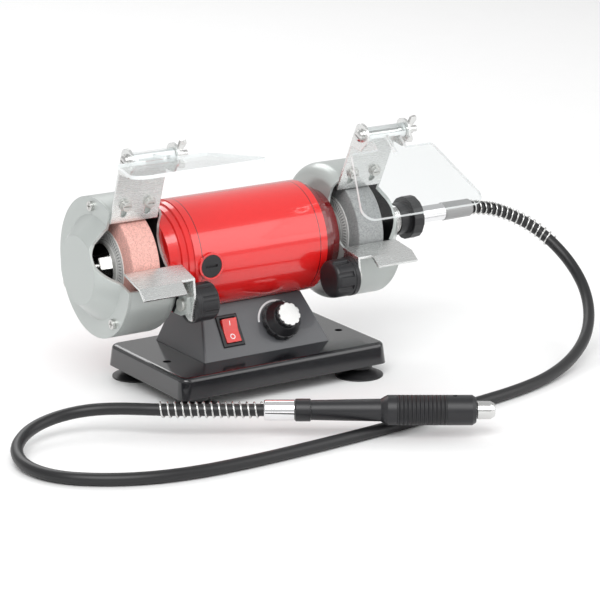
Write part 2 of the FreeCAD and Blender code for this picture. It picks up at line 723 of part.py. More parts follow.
def field_coils():
    """Two wound coils, one round each pole."""
    low = FIELD_X - FIELD_HALF - 6.0
    high = FIELD_X + FIELD_HALF + 6.0
    band = spindle_ring(FIELD_INNER_RADIUS - 0.3, POLE_OUTER + 0.3, low, high)
    coils = []
    for sign in (-1, 1):
        z0, z1 = (MOTOR_Z, MOTOR_Z + 40) if sign > 0 else (MOTOR_Z - 40, MOTOR_Z)
        coil = band.common(box(low, high, MOTOR_Y - SHOE_HALF, MOTOR_Y + SHOE_HALF, z0, z1))
        core = box(low + 5.7, high - 5.7, MOTOR_Y - 7.3, MOTOR_Y + 7.3, z0, z1)
        coils.append(coil.cut(core))
    return group(coils)


def brush_holders():
    """Insulated tubes that guide the brushes."""
    tubes = []
    for front in BRUSH_SIDES:
        tube = brush_axis(front, COMMUTATOR_RADIUS + 2.0, SLEEVE_INNER - 1.0, BRUSH_RADIUS + 2.0)
        collar = brush_axis(front, SLEEVE_INNER - 2.2, SLEEVE_INNER - 0.8, BRUSH_CAP_RADIUS)
        bore = brush_axis(front, 5, SLEEVE_RADIUS + 5, BRUSH_RADIUS + SLIDE_GAP)
        tubes.append(fuse([tube, collar]).cut(bore))
    return group(tubes)


def carbon_brushes():
    """Carbon rods that bear on the commutator."""
    return group([
        brush_axis(f, COMMUTATOR_RADIUS + 0.25, COMMUTATOR_RADIUS + 10.0, BRUSH_RADIUS)
        for f in BRUSH_SIDES
    ])


def brush_caps():
    """Slotted screw caps that close the brush holders."""
    caps = []
    for front in BRUSH_SIDES:
        far = SLEEVE_RADIUS + BRUSH_BOSS_HEIGHT - 0.2
        cap = brush_axis(front, SLEEVE_INNER - 0.6, far, BRUSH_CAP_RADIUS)
        face_y = MOTOR_Y + (-far if front else far)
        slot = box(
            BRUSH_X - 4.6, BRUSH_X + 4.6, face_y - 1.3, face_y + 1.3, MOTOR_Z - 0.8, MOTOR_Z + 0.8
        )
        caps.append(cap.cut(slot))
    return group(caps)


# ---------------------------------------------------------------- rotor
def rotor_shaft():
    """Steel spindle, stepped to carry both wheels, with a square end for the flexible shaft."""
    low = LEFT_WHEEL_X - 11.0
    high = NOZZLE_END_X - 6.0
    body = spindle_rod(SHAFT_RADIUS, low, high - 8.0)
    seats = []
    for side in SIDES:
        x0 = WHEEL_LOW_X[side]
        seats.append(spindle_rod(WHEEL_BORE_RADIUS - 0.03, x0 - 0.4, x0 + WHEEL_WIDTH + 0.4))
    square = box(high - 9, high, MOTOR_Y - 2, MOTOR_Y + 2, MOTOR_Z - 2, MOTOR_Z + 2)
    return fuse([body] + seats + [square])


def armature_core():
    """Slotted armature stack with its windings' ends."""
    low = FIELD_X - FIELD_HALF
    high = FIELD_X + FIELD_HALF
    core = spindle_ring(ARMATURE_RADIUS, SHAFT_RADIUS, low, high)
    for i in range(12):
        angle = math.radians(30 * i)
        y = MOTOR_Y + (ARMATURE_RADIUS - 1.5) * math.cos(angle)
        z = MOTOR_Z + (ARMATURE_RADIUS - 1.5) * math.sin(angle)
        core = core.cut(rod(1.7, (low - 1, y, z), (high + 1, y, z)))
    ends = [
        spindle_ring(ARMATURE_RADIUS - 4.0, SHAFT_RADIUS, low - 5, low + 0.5),
        spindle_ring(ARMATURE_RADIUS - 4.0, SHAFT_RADIUS, high - 0.5, high + 5),
    ]
    return fuse([core] + ends)


def commutator():
    """Copper commutator under the brushes."""
    half = COMMUTATOR_LENGTH / 2
    ring = spindle_ring(COMMUTATOR_RADIUS, SHAFT_RADIUS, BRUSH_X - half, BRUSH_X + half)
    for i in range(12):
        slot = box(
            BRUSH_X - half - 1, BRUSH_X + half + 1, -0.3, 0.3, COMMUTATOR_RADIUS - 1.2, 30
        )
        turned = placed(slot, (0, 0, 0), (1, 0, 0), 30 * i)
        turned.translate(Vector(0, MOTOR_Y, MOTOR_Z))
        ring = ring.cut(turned)
    return ring


def cooling_fan():
    """Fan on the right of the armature."""
    x0 = FIELD_X + FIELD_HALF + 8.0
    hub = spindle_ring(9.0, SHAFT_RADIUS, x0, x0 + 7.0)
    disc = spindle_ring(27.0, SHAFT_RADIUS, x0, x0 + 1.4)
    blades = []
    for i in range(9):
        blade = box(x0 + 1, x0 + 7.0, -0.6, 0.6, 8.0, 27.0)
        turned = placed(blade, (0, 0, 0), (1, 0, 0), 40 * i)
        turned.translate(Vector(0, MOTOR_Y, MOTOR_Z))
        blades.append(turned)
    return fuse([hub, disc] + blades)


def wheel(side):
    """Grinding wheel with slightly eased rims."""
    x0 = WHEEL_LOW_X[side]
    x1 = x0 + WHEEL_WIDTH
    return spindle_turned([
        (x0, WHEEL_BORE_RADIUS),
        (x0, WHEEL_RADIUS - 0.5),
        (x0 + 0.5, WHEEL_RADIUS),
        (x1 - 0.5, WHEEL_RADIUS),
        (x1, WHEEL_RADIUS - 0.5),
        (x1, WHEEL_BORE_RADIUS),
    ])


def wheel_blotters():
    """Paper discs on both faces of each wheel."""
    discs = []
    for x0 in WHEEL_LOW_X.values():
        x1 = x0 + WHEEL_WIDTH
        discs.append(spindle_ring(BLOTTER_RADIUS, WHEEL_BORE_RADIUS, x0 - BLOTTER_THICKNESS, x0))
        discs.append(spindle_ring(BLOTTER_RADIUS, WHEEL_BORE_RADIUS, x1, x1 + BLOTTER_THICKNESS))
    return group(discs)


def wheel_flanges():
    """Clamping discs on both sides of each wheel."""
    discs = []
    for x0 in WHEEL_LOW_X.values():
        low = x0 - BLOTTER_THICKNESS
        high = x0 + WHEEL_WIDTH + BLOTTER_THICKNESS
        discs.append(spindle_ring(FLANGE_RADIUS, SHAFT_RADIUS, low - FLANGE_THICKNESS, low))
        discs.append(spindle_ring(FLANGE_RADIUS, SHAFT_RADIUS, high, high + FLANGE_THICKNESS))
    return group(discs)


def wheel_nuts():
    """Hexagon nuts that clamp the wheels, on the outer side of each."""
    nuts = []
    gap = BLOTTER_THICKNESS + FLANGE_THICKNESS
    for start in (LEFT_WHEEL_X - gap - 5.0, RIGHT_WHEEL_X + WHEEL_WIDTH + gap):
        nut = hexagon(WHEEL_NUT_FLATS, 5.0)
        nut.translate(Vector(start, MOTOR_Y, MOTOR_Z))
        nuts.append(nut.cut(spindle_rod(SHAFT_RADIUS, start - 1, start + 6)))
    return group(nuts)


# ---------------------------------------------------------------- guards
def bracket_frame(shape, side):
    """Place a shape made at zero, with Y up a spark bracket's back face and Z out of it."""
    origin = (WHEEL_MID_X[side], MOTOR_Y - BRACKET_FORWARD, MOTOR_Z + BRACKET_ABOVE)
    return placed(shape, origin, (1, 0, 0), 90 + BRACKET_LEAN[side])


def mouth_cut(side):
    """Prism through a guard that opens its front for the work."""
    lean = math.tan(math.radians(BRACKET_LEAN[side]))
    top = 70.0
    forward = BRACKET_FORWARD - SLIDE_GAP
    outline = [
        (forward, BRACKET_ABOVE),
        (16.6, 28.0),
        (15.6, 19.8),
    ]
    curve = [(15.6, 19.8), (21.5, 7.0), (34.0, -3.2)]
    rest = [
        (46.2, -6.6),
        (80.0, -6.6),
        (80.0, top),
        (forward + lean * (top - BRACKET_ABOVE), top),
    ]

    def point(pair):
        """World point of a forward and upward distance from the spindle."""
        return Vector(-200, MOTOR_Y - pair[0], MOTOR_Z + pair[1])

    edges = [
        Part.LineSegment(point(outline[0]), point(outline[1])).toShape(),
        Part.LineSegment(point(outline[1]), point(outline[2])).toShape(),
        Part.Arc(*[point(p) for p in curve]).toShape(),
    ]
    chain = [curve[-1]] + rest + [outline[0]]
    for first, second in zip(chain, chain[1:]):
        edges.append(Part.LineSegment(point(first), point(second)).toShape())
    return Part.Face(Part.Wire(edges)).extrude(Vector(400, 0, 0))


TAB_MARGIN = 1.9


def bracket_tab(side):
    """Upright tab on a guard that the spark bracket is screwed to."""
    half = GUARD_WIDTH / 2 - GUARD_WALL - SLIDE_GAP - TAB_MARGIN
    tab = box(-half, half, 0.6, 19.0, -GUARD_WALL - SLIDE_GAP, -SLIDE_GAP)
    corners = [e for e in tab.Edges if e.BoundBox.YMin > 18.9 and e.BoundBox.ZLength > 1]
    tab = tab.makeFillet(3.0, corners)
    for x in (-BRACKET_SLOT_SPACING / 2, BRACKET_SLOT_SPACING / 2):
        tab = tab.cut(Part.makeCylinder(2.0, 10, Vector(x, BRACKET_SCREW_HEIGHT, -5)))
    return bracket_frame(tab, side)


def guard_drum(side):
    """Deep-drawn guard: inner wall with a round shoulder, open front, tab and stud lug."""
    out = OUTWARD[side]
    start = GUARD_INNER_X[side]
    depth = GUARD_WIDTH - GUARD_WALL - SLIDE_GAP
    end = start + out * depth
    outer = spindle_rod(GUARD_RADIUS, start, end)
    near = [e for e in outer.Edges if abs(e.BoundBox.XMin - start) < 0.01 and e.BoundBox.XLength < 0.01]
    outer = outer.makeFillet(GUARD_EDGE_ROUND, near)
    inner = spindle_rod(GUARD_RADIUS - GUARD_WALL, start + out * GUARD_WALL, end + out)
    shift = start + out * GUARD_WALL
    near = [e for e in inner.Edges if abs(e.BoundBox.XMin - shift) < 0.01 and e.BoundBox.XLength < 0.01]
    inner = inner.makeFillet(GUARD_EDGE_ROUND - GUARD_WALL, near)
    shell = outer.cut(inner).cut(spindle_rod(SHAFT_RADIUS + 6.0, start - 5, start + 5))
    shell = shell.cut(mouth_cut(side))
    lug_thick = 1.2
    lug_face = polygon_face([
        (start, STUD_Y - 6.0, STUD_Z + 6.0),
        (start, STUD_Y - 6.0, STUD_Z - 4.0),
        (start, STUD_Y + 2.0, STUD_Z - 8.0),
        (start, STUD_Y + 16.0, STUD_Z - 8.0),
        (start, STUD_Y + 14.0, STUD_Z + 9.5),
        (start, STUD_Y + 2.0, STUD_Z + 9.5),
    ])
    lug = lug_face.extrude(Vector(-out * lug_thick, 0, 0))
    hub = rod(
        STUD_RADIUS + 3.5,
        (start + out * GUARD_WALL, STUD_Y, STUD_Z),
        (start - out * lug_thick, STUD_Y, STUD_Z),
    )
    web = lug_face.extrude(Vector(out * GUARD_WALL, 0, 0))
    keep = spindle_rod(GUARD_RADIUS - GUARD_EDGE_ROUND - 0.5, start - 5, start + 5)
    web = web.cut(keep)
    shell = fuse([shell, lug, web, hub, bracket_tab(side)])
    hole = rod(STUD_RADIUS + SLIDE_GAP, (start - 8, STUD_Y, STUD_Z), (start + 8, STUD_Y, STUD_Z))
    return shell.cut(hole)


def cover_screw_places(side):
    """Places of the three screws round a guard's cover, as (y, z)."""
    places = []
    for degrees in (92.0, 207.0, -52.0):
        angle = math.radians(degrees)
        forward = -COVER_SCREW_CIRCLE * math.cos(angle)
        places.append((MOTOR_Y + forward * -1.0, MOTOR_Z + COVER_SCREW_CIRCLE * math.sin(angle)))
    return [(2 * MOTOR_Y - y, z) for y, z in places]


def guard_cover(side):
    """Outer cover of a guard with a raised dish in the middle."""
    out = OUTWARD[side]
    face = GUARD_OUTER_X[side]
    inside = face - out * GUARD_WALL
    step = DISH_X[side]
    bore = NOZZLE_RADIUS - 1.5 if side == "right" else 0.0
    profile = [
        (inside, GUARD_RADIUS),
        (face, GUARD_RADIUS),
        (face, DISH_BASE_RADIUS),
        (step, DISH_TOP_RADIUS),
        (step, bore),
        (step - out * GUARD_WALL, bore),
        (step - out * GUARD_WALL, DISH_TOP_RADIUS - 1.0),
        (inside, DISH_BASE_RADIUS - 1.6),
    ]
    cover = spindle_turned(profile).cut(mouth_cut(side))
    for y, z in cover_screw_places(side):
        cover = cover.cut(rod(1.7, (face - 5, y, z), (face + 5, y, z)))
    return cover


def cover_screws(side):
    """Three pan-head screws of a guard's cover, each with its threaded lug inside."""
    out = OUTWARD[side]
    face = GUARD_OUTER_X[side]
    screws = []
    for y, z in cover_screw_places(side):
        head = rod(3.3, (face, y, z), (face + out * 2.2, y, z))
        shank = rod(1.6, (face + out * 0.5, y, z), (face - out * 6.0, y, z))
        lug = rod(3.2, (face - out * (GUARD_WALL + 0.05), y, z), (face - out * 5.0, y, z))
        screw = fuse([head, shank, lug])
        for sy, sz in ((2.2, 0.45), (0.45, 2.2)):
            x0, x1 = sorted((face + out * 1.2, face + out * 4.0))
            screw = screw.cut(box(x0, x1, y - sy, y + sy, z - sz, z + sz))
        screws.append(screw)
    return group(screws)


def bracket_screws(side):
    """Two screws with washers that clamp a spark bracket through its slots."""
    screws = []
    for x in (-BRACKET_SLOT_SPACING / 2, BRACKET_SLOT_SPACING / 2):
        front = BRACKET_THICKNESS + SLIDE_GAP
        washer = Part.makeCylinder(4.2, 0.8, Vector(x, BRACKET_SCREW_HEIGHT, front))
        head = Part.makeCylinder(3.3, 2.2, Vector(x, BRACKET_SCREW_HEIGHT, front + 0.8))
        shank = Part.makeCylinder(1.95, 7.5, Vector(x, BRACKET_SCREW_HEIGHT, front - 7.0))
        nut = Part.makeCylinder(3.6, 2.4, Vector(x, BRACKET_SCREW_HEIGHT, -GUARD_WALL - SLIDE_GAP - 2.4))
        screw = fuse([washer, head, shank, nut])
        slot = box(
            x - 2.3, x + 2.3, BRACKET_SCREW_HEIGHT - 0.45, BRACKET_SCREW_HEIGHT + 0.45,
            front + 2.0, front + 4.0,
        )
        screws.append(screw.cut(slot))
    return bracket_frame(group(screws), side)


# ---------------------------------------------------------------- spark brackets and visors
def spark_bracket(side):
    """Folded plate with two slots and two ears for the visor hinge."""
    half = BRACKET_WIDTH / 2
    plate = box(-half, half, 0, BRACKET_HEIGHT, 0, BRACKET_THICKNESS)
    plates = [plate]
    for sign in (-1, 1):
        x0, x1 = sorted((sign * half, sign * (half - BRACKET_THICKNESS)))
        low = HINGE_HEIGHT - EAR_RADIUS - 6.0
        ear = polygon_face([
            (x0, low, 0),
            (x0, low + 4.0, HINGE_FORWARD + EAR_RADIUS * 0.6),
            (x0, HINGE_HEIGHT, HINGE_FORWARD + EAR_RADIUS),
            (x0, HINGE_HEIGHT, HINGE_FORWARD - EAR_RADIUS + 1.5),
            (x0, HINGE_HEIGHT, 0),
        ]).extrude(Vector(x1 - x0, 0, 0))
        tip = Part.makeCylinder(
            EAR_RADIUS, x1 - x0, Vector(x0, HINGE_HEIGHT, HINGE_FORWARD), Vector(1, 0, 0)
        )
        tip = tip.cut(box(-half - 1, half + 1, 0, 100, -20, 0))
        plates += [ear, tip]
    bracket = fuse(plates)
    for x in (-BRACKET_SLOT_SPACING / 2, BRACKET_SLOT_SPACING / 2):
        r = BRACKET_SLOT_RADIUS
        slot = box(x - r, x + r, BRACKET_SLOT_LOW + r, BRACKET_SLOT_HIGH - r, -3, 6)
        bracket = bracket.cut(slot)
        for y in (BRACKET_SLOT_LOW + r, BRACKET_SLOT_HIGH - r):
            bracket = bracket.cut(Part.makeCylinder(r, 9, Vector(x, y, -3)))
    hole = Part.makeCylinder(
        HINGE_BOLT_RADIUS + RUNNING_GAP,
        2 * half + 2,
        Vector(-half - 1, HINGE_HEIGHT, HINGE_FORWARD),
        Vector(1, 0, 0),
    )
    return bracket_frame(bracket.cut(hole), side)


def hinge_bolt(side):
    """Bolt through a bracket's ears, head on the left, with its washers."""
    half = BRACKET_WIDTH / 2
    bolt = turned_on_x([
        (-half - 3.4, 0),
        (-half - 3.4, 2.6),
        (-half - 2.2, 3.9),
        (-half - 0.9, 3.9),
        (-half - 0.9, 4.6),
        (-half, 4.6),
        (-half, HINGE_BOLT_RADIUS),
        (half + 9.0, HINGE_BOLT_RADIUS),
        (half + 9.0, 0),
    ])
    slot = box(-half - 5, -half - 2.4, -0.45, 0.45, -3, 3)
    washer = turned_on_x([
        (half, HINGE_BOLT_RADIUS - 0.5),
        (half, 4.6),
        (half + 0.9, 4.6),
        (half + 0.9, HINGE_BOLT_RADIUS - 0.5),
    ])
    piece = fuse([bolt.cut(slot), washer])
    piece = placed(piece, (0, HINGE_HEIGHT, HINGE_FORWARD), (1, 0, 0), 0)
    return bracket_frame(group([piece]), side).Solids[0]


def wing_nut(side):
    """Wing nut on the right end of a hinge bolt."""
    start = BRACKET_WIDTH / 2 + 0.9 + SLIDE_GAP
    hub = turned_on_x([(start, 0), (start, 4.2), (start + 4.5, 3.2), (start + 4.5, 0)])
    wings = []
    for sign in (-1, 1):
        outline = [
            (start + 0.6, 0.0, -1.0),
            (start + 0.6, sign * 3.2, -1.0),
            (start + 2.6, sign * 9.2, -1.0),
            (start + 6.4, sign * 9.6, -1.0),
            (start + 7.0, sign * 7.0, -1.0),
            (start + 4.2, sign * 2.6, -1.0),
            (start + 4.2, 0.0, -1.0),
        ]
        wings.append(polygon_face(outline).extrude(Vector(0, 0, 2.0)))
    nut = fuse([hub] + wings)
    bore = rod(HINGE_BOLT_RADIUS + RUNNING_GAP, (start - 1, 0, 0), (start + 20, 0, 0))
    nut = placed(nut.cut(bore), (0, HINGE_HEIGHT, HINGE_FORWARD), (1, 0, 0), -12)
    return bracket_frame(group([nut]), side).Solids[0]


def visor(side):
    """Clear eye shield: hinge barrel, ribbed neck and a flared sheet with round corners."""
    barrel_half = BRACKET_WIDTH / 2 - BRACKET_THICKNESS - 0.3
    barrel = Part.makeCylinder(
        VISOR_BARREL_RADIUS, 2 * barrel_half, Vector(-barrel_half, 0, 0), Vector(1, 0, 0)
    )
    half_t = VISOR_THICKNESS / 2
    near = VISOR_NEAR_WIDTH / 2
    far = VISOR_FAR_WIDTH / 2
    end = VISOR_START + VISOR_LENGTH
    sheet = polygon_face([
        (-near, VISOR_START, -half_t),
        (near, VISOR_START, -half_t),
        (far, end, -half_t),
        (-far, end, -half_t),
    ]).extrude(Vector(0, 0, VISOR_THICKNESS))
    upright = [e for e in sheet.Edges if e.BoundBox.ZLength > 1]
    front = [e for e in upright if e.BoundBox.YMin > end - 1]
    sheet = sheet.makeFillet(VISOR_CORNER, front)
    back = [
        e for e in sheet.Edges
        if e.BoundBox.ZLength > 1 and e.BoundBox.YMax < VISOR_START + 1
    ]
    sheet = sheet.makeFillet(3.0, back)
    neck = box(-11.5, 11.5, 0, VISOR_START + 2.0, -half_t, half_t)
    rib = box(-1.0, 1.0, 2.0, VISOR_START + 5.0, -half_t - 1.6, half_t)
    shield = fuse([barrel, sheet, neck, rib])
    bore = rod(HINGE_BOLT_RADIUS + RUNNING_GAP, (-barrel_half - 1, 0, 0), (barrel_half + 1, 0, 0))
    return placed(shield.cut(bore), hinge_point(side), (1, 0, 0), 180 - VISOR_RISE[side])


# ---------------------------------------------------------------- tool rests
def rest_flange_x(side):
    """The two faces of a tool rest's flange, nearest the guard first."""
    out = OUTWARD[side]
    near = GUARD_INNER_X[side] - out * (1.2 + SLIDE_GAP)
    return near, near - out * REST_SHEET


def tool_rest(side):
    """Bent sheet rest: a sloping plate with a turned-down lip and a slotted flange."""
    out = OUTWARD[side]
    slope = math.radians(REST_SLOPE[side])
    lip = math.radians(REST_SLOPE[side] + REST_LIP_ANGLE)
    rear = Vector(0, MOTOR_Y - WHEEL_RADIUS - REST_REAR_GAP, REST_HEIGHT[side])
    fold = rear + Vector(0, -math.cos(slope), -math.sin(slope)) * REST_DEPTH
    tip = fold + Vector(0, -math.cos(lip), -math.sin(lip)) * REST_LIP
    down = Vector(0, math.sin(slope), -math.cos(slope)) * REST_SHEET
    mid_down = Vector(0, math.sin((slope + lip) / 2), -math.cos((slope + lip) / 2)) * REST_SHEET
    tip_down = Vector(0, math.sin(lip), -math.cos(lip)) * REST_SHEET
    near, far = rest_flange_x(side)
    outer_edge = far + out * REST_WIDTH
    low_x, high_x = sorted((far, outer_edge))
    outline = [rear, fold, tip, tip + tip_down, fold + mid_down, rear + down]
    face = polygon_face([(low_x, p.y, p.z) for p in outline])
    plate = face.extrude(Vector(high_x - low_x, 0, 0))
    notch_low, notch_high = sorted((far - out, far + out * 10.5))
    notch = box(notch_low, notch_high, tip.y - 5, fold.y + 2.0, 0, 200)
    plate = plate.cut(notch)
    flange_face = polygon_face([
        (far, rear.y - 1.5, rear.z - 0.6),
        (far, fold.y + 2.2, fold.z + 0.4),
        (far, STUD_Y - 10.5, STUD_Z + 5.5),
        (far, STUD_Y - 6.0, STUD_Z - 10.5),
        (far, STUD_Y - 2.5, STUD_Z - 10.5),
        (far, STUD_Y + 9.5, STUD_Z - 3.0),
        (far, STUD_Y + 9.5, STUD_Z + 6.0),
    ])
    flange = flange_face.extrude(Vector(near - far, 0, 0))
    behind = rear + Vector(0, 20.0, 20.0 * math.tan(slope))
    ahead = fold - Vector(0, 30.0, 30.0 * math.tan(slope))
    above = polygon_face([
        (far - 5, behind.y, behind.z),
        (far - 5, ahead.y, ahead.z),
        (far - 5, ahead.y, 200),
        (far - 5, behind.y, 200),
    ]).extrude(Vector(10, 0, 0))
    flange = flange.cut(above)
    rest = fuse([plate, flange])
    slot_radius = STUD_RADIUS + 0.25
    x0, x1 = far - 3, far + 3
    front_y = STUD_Y - REST_SLOT_TRAVEL / 2
    rear_y = STUD_Y + REST_SLOT_TRAVEL / 2
    slot = box(x0, x1, front_y, rear_y, STUD_Z - slot_radius, STUD_Z + slot_radius)
    rest = rest.cut(slot)
    for y in (front_y, rear_y):
        rest = rest.cut(rod(slot_radius, (x0, y, STUD_Z), (x1, y, STUD_Z)))
    return rest


def rest_studs():
    """Threaded studs fixed in the guards' lugs, which the knobs clamp on."""
    studs = []
    for side in SIDES:
        out = OUTWARD[side]
        start = GUARD_INNER_X[side] + out * (GUARD_WALL + 2.2)
        end = rest_flange_x(side)[1] - out * (KNOB_LENGTH - 4.0)
        stud = rod(STUD_RADIUS, (start, STUD_Y, STUD_Z), (end, STUD_Y, STUD_Z))
        head = rod(
            4.2,
            (start, STUD_Y, STUD_Z),
            (GUARD_INNER_X[side] + out * (GUARD_WALL + 0.02), STUD_Y, STUD_Z),
        )
        studs.append(fuse([stud, head]))
    return group(studs)


def clamp_knob(side):
    """Fluted knob with a plain collar and a domed end, on a tool rest's stud."""
    out = OUTWARD[side]
    start = rest_flange_x(side)[1] - out * SLIDE_GAP
    collar = Part.makeCylinder(KNOB_RADIUS, 3.0)
    body = Part.makeCylinder(KNOB_RADIUS - 0.4, KNOB_LENGTH - 2.5, Vector(0, 0, 2.5))
    ends = [e for e in body.Edges if e.BoundBox.ZMin > KNOB_LENGTH - 0.1]
    body = body.makeFillet(3.0, ends)
    knob = fuse([collar, body])
    for i in range(8):
        angle = math.radians(45 * i + 22.5)
        reach = KNOB_RADIUS + 1.6
        at = Vector(reach * math.cos(angle), reach * math.sin(angle), 4.6)
        knob = knob.cut(Part.makeCylinder(3.0, KNOB_LENGTH, at))
    knob = knob.cut(
        Part.makeCylinder(STUD_RADIUS + RUNNING_GAP, KNOB_LENGTH - 3.0, Vector(0, 0, -1))
    )
    return placed(knob, (start, STUD_Y, STUD_Z), (0, 1, 0), -90 * out)


# ---------------------------------------------------------------- flexible shaft
def flex_nozzle():
    """Threaded nozzle on the right cover that takes the flexible shaft."""
    face = DISH_X["right"]
    end = NOZZLE_END_X
    points = [(face + 0.02, NOZZLE_RADIUS - 2.5), (face + 0.02, NOZZLE_RADIUS + 2.0),
              (face + 2.0, NOZZLE_RADIUS + 2.0), (face + 2.0, NOZZLE_RADIUS - 0.5)]
    pitch = 1.5
    x = face + 3.0
    while x + pitch < end - 0.5:
        points.append((x, NOZZLE_RADIUS - 0.5))
        points.append((x + pitch / 2, NOZZLE_RADIUS))
        x += pitch
    points += [(x, NOZZLE_RADIUS - 0.5), (end, NOZZLE_RADIUS - 0.8), (end, NOZZLE_RADIUS - 2.5)]
    return spindle_turned(points)


def flex_nut():
    """Union nut: a round neck and an eight-sided flange that traps the ferrule's collar."""
    start = NOZZLE_END_X - 8.5
    end = FLEX_NUT_END_X
    neck = spindle_rod(FLEX_NUT_NECK_RADIUS, start, end - 1)
    reach = FLEX_NUT_RADIUS
    corners = []
    for i in range(8):
        for offset in (-9, 9):
            angle = math.radians(45 * i + offset)
            corners.append(
                (end - 8.0, MOTOR_Y + reach * math.cos(angle), MOTOR_Z + reach * math.sin(angle))
            )
    flange = polygon_face(corners).extrude(Vector(8.0, 0, 0))
    nut = fuse([neck, flange])
    nut = nut.cut(spindle_rod(NOZZLE_RADIUS + RUNNING_GAP, start - 1, NOZZLE_END_X + 2.4))
    return nut.cut(spindle_rod(FERRULE_RADIUS + 0.1, start, end + 1))


def flex_ferrule():
    """Steel end fitting of the flexible shaft with its collar and crimped tail."""
    start = NOZZLE_END_X + 0.05
    end = FERRULE_END_X - 0.8
    middle = NOZZLE_END_X + FERRULE_LENGTH * 0.572
    return spindle_turned([
        (start, 3.0),
        (start, NOZZLE_RADIUS - 0.6),
        (start + 2.0, NOZZLE_RADIUS - 0.6),
        (start + 2.0, FERRULE_RADIUS),
        (middle, FERRULE_RADIUS),
        (middle + 0.6, FERRULE_RADIUS + 0.5),
        (end - 0.8, FERRULE_RADIUS + 0.3),
        (end, FERRULE_RADIUS - 0.2),
        (end, 0),
        (start + 20, 0),
        (start + 20, 3.0),
    ])


def hose_points():
    """The hose's route from the machine's ferrule to the handpiece."""
    start = Vector(FERRULE_END_X, MOTOR_Y, MOTOR_Z)
    end = Vector(HANDPIECE_START[0], HANDPIECE_START[1], HANDPIECE_HEIGHT)
    return [start] + [Vector(p) for p in HOSE_ROUTE] + [end]


def hose_path(points):
    """Straight runs joined by tangent arcs, with the list of the arcs' radii."""
    edges = []
    radii = []
    at = points[0]
    for before, corner, after in zip(points, points[1:], points[2:]):
        arrive = corner - before
        leave = after - corner
        turn = arrive.getAngle(leave)
        back = HOSE_BEND_SHARE * min(arrive.Length, leave.Length)
        radius = back / math.tan(turn / 2)
        arrive.normalize()
        leave.normalize()
        first = corner - arrive * back
        last = corner + leave * back
        inward = leave - arrive
        inward.normalize()
        centre = corner + inward * (radius / math.cos(turn / 2))
        middle = centre - inward * radius
        edges.append(Part.LineSegment(at, first).toShape())
        edges.append(Part.Arc(first, middle, last).toShape())
        radii.append(radius)
        at = last
    edges.append(Part.LineSegment(at, points[-1]).toShape())
    return edges, radii


def sweep(edges, radius, inner=0.0):
    """Round bar or tube swept along a chain of tangent edges."""
    start = edges[0].valueAt(edges[0].FirstParameter)
    along = edges[0].tangentAt(edges[0].FirstParameter)
    solids = []
    for r in (radius, inner):
        if r > 0:
            ring = Part.Wire(Part.Circle(start, along, r).toShape())
            solids.append(Part.Wire(edges).makePipeShell([ring], True, False))
    return solids[0].cut(solids[1]) if inner > 0 else solids[0]


def flex_hose(edges, radii):
    """Outer hose of the flexible shaft."""
    hose = sweep(edges, HOSE_DIAMETER / 2)
    length = sum(e.Length for e in edges)
    expected = math.pi * HOSE_DIAMETER ** 2 / 4 * length
    print("hose length", round(length, 1), "volume ratio", round(hose.Volume / expected, 5))
    print("hose radii", [round(r, 1) for r in radii])
    return hose


def strain_springs(edges):
    """Sleeves of the outer size of the springs that guard both ends of the hose."""
    inner = HOSE_DIAMETER / 2 + 0.3
    near = sweep(edges[:2 * SPRING_RUNS_AT_MACHINE], SPRING_OUTER_RADIUS, inner)
    far = sweep(edges[-2 * SPRING_RUNS_AT_HANDPIECE - 1:], SPRING_OUTER_RADIUS, inner)
    return group([near, far])


def on_handpiece(shape):
    """Place a shape made along +X from zero on the handpiece's axis."""
    origin = (HANDPIECE_START[0], HANDPIECE_START[1], HANDPIECE_HEIGHT)
    return placed(shape, origin, (0, 0, 1), HANDPIECE_ANGLE)


def handpiece_ferrule():
    """Steel end fitting of the hose at the handpiece."""
    return on_handpiece(turned_on_x([
        (0.02, 0), (0.02, 6.0), (0.8, 6.6), (19.2, 6.6), (19.7, 6.1), (19.7, 0),
    ]))


def handpiece_collar():
    """Black collar between the ferrule and the handle."""
    return on_handpiece(turned_on_x([
        (19.75, 0), (19.75, 6.8), (20.3, 7.25), (29.1, 7.25), (29.7, 6.7), (29.7, 0),
    ]))


def handpiece_handle():
    """Handle with a slim neck and a thick grip, bored for the spindle."""
    neck = HANDLE_NECK_RADIUS
    handle = turned_on_x([
        (29.75, 0), (29.75, neck - 0.6), (74.0, neck + 0.25), (75.9, HANDLE_RADIUS - 1.2),
        (78.4, HANDLE_RADIUS), (132.0, HANDLE_RADIUS), (134.4, HANDLE_RADIUS - 1.6), (134.4, 0),
    ])
    bore = rod(SPINDLE_RADIUS + RUNNING_GAP, (68.0, 0, 0), (140.0, 0, 0))
    lock_hole = rod(1.6, (121.0, 0, 0), (121.0, 0, 20.0))
    return on_handpiece(handle.cut(bore).cut(lock_hole))


SPINDLE_RADIUS = 3.0
COLLET_START = 134.9
COLLET_END = 146.4
SPINDLE_END = 139.5


def collet_spindle():
    """Spindle that carries the collet, running in the handle."""
    spindle = rod(SPINDLE_RADIUS, (68.4, 0, 0), (SPINDLE_END, 0, 0))
    return on_handpiece(spindle.cut(rod(COLLET_BORE_RADIUS, (124, 0, 0), (145, 0, 0))))


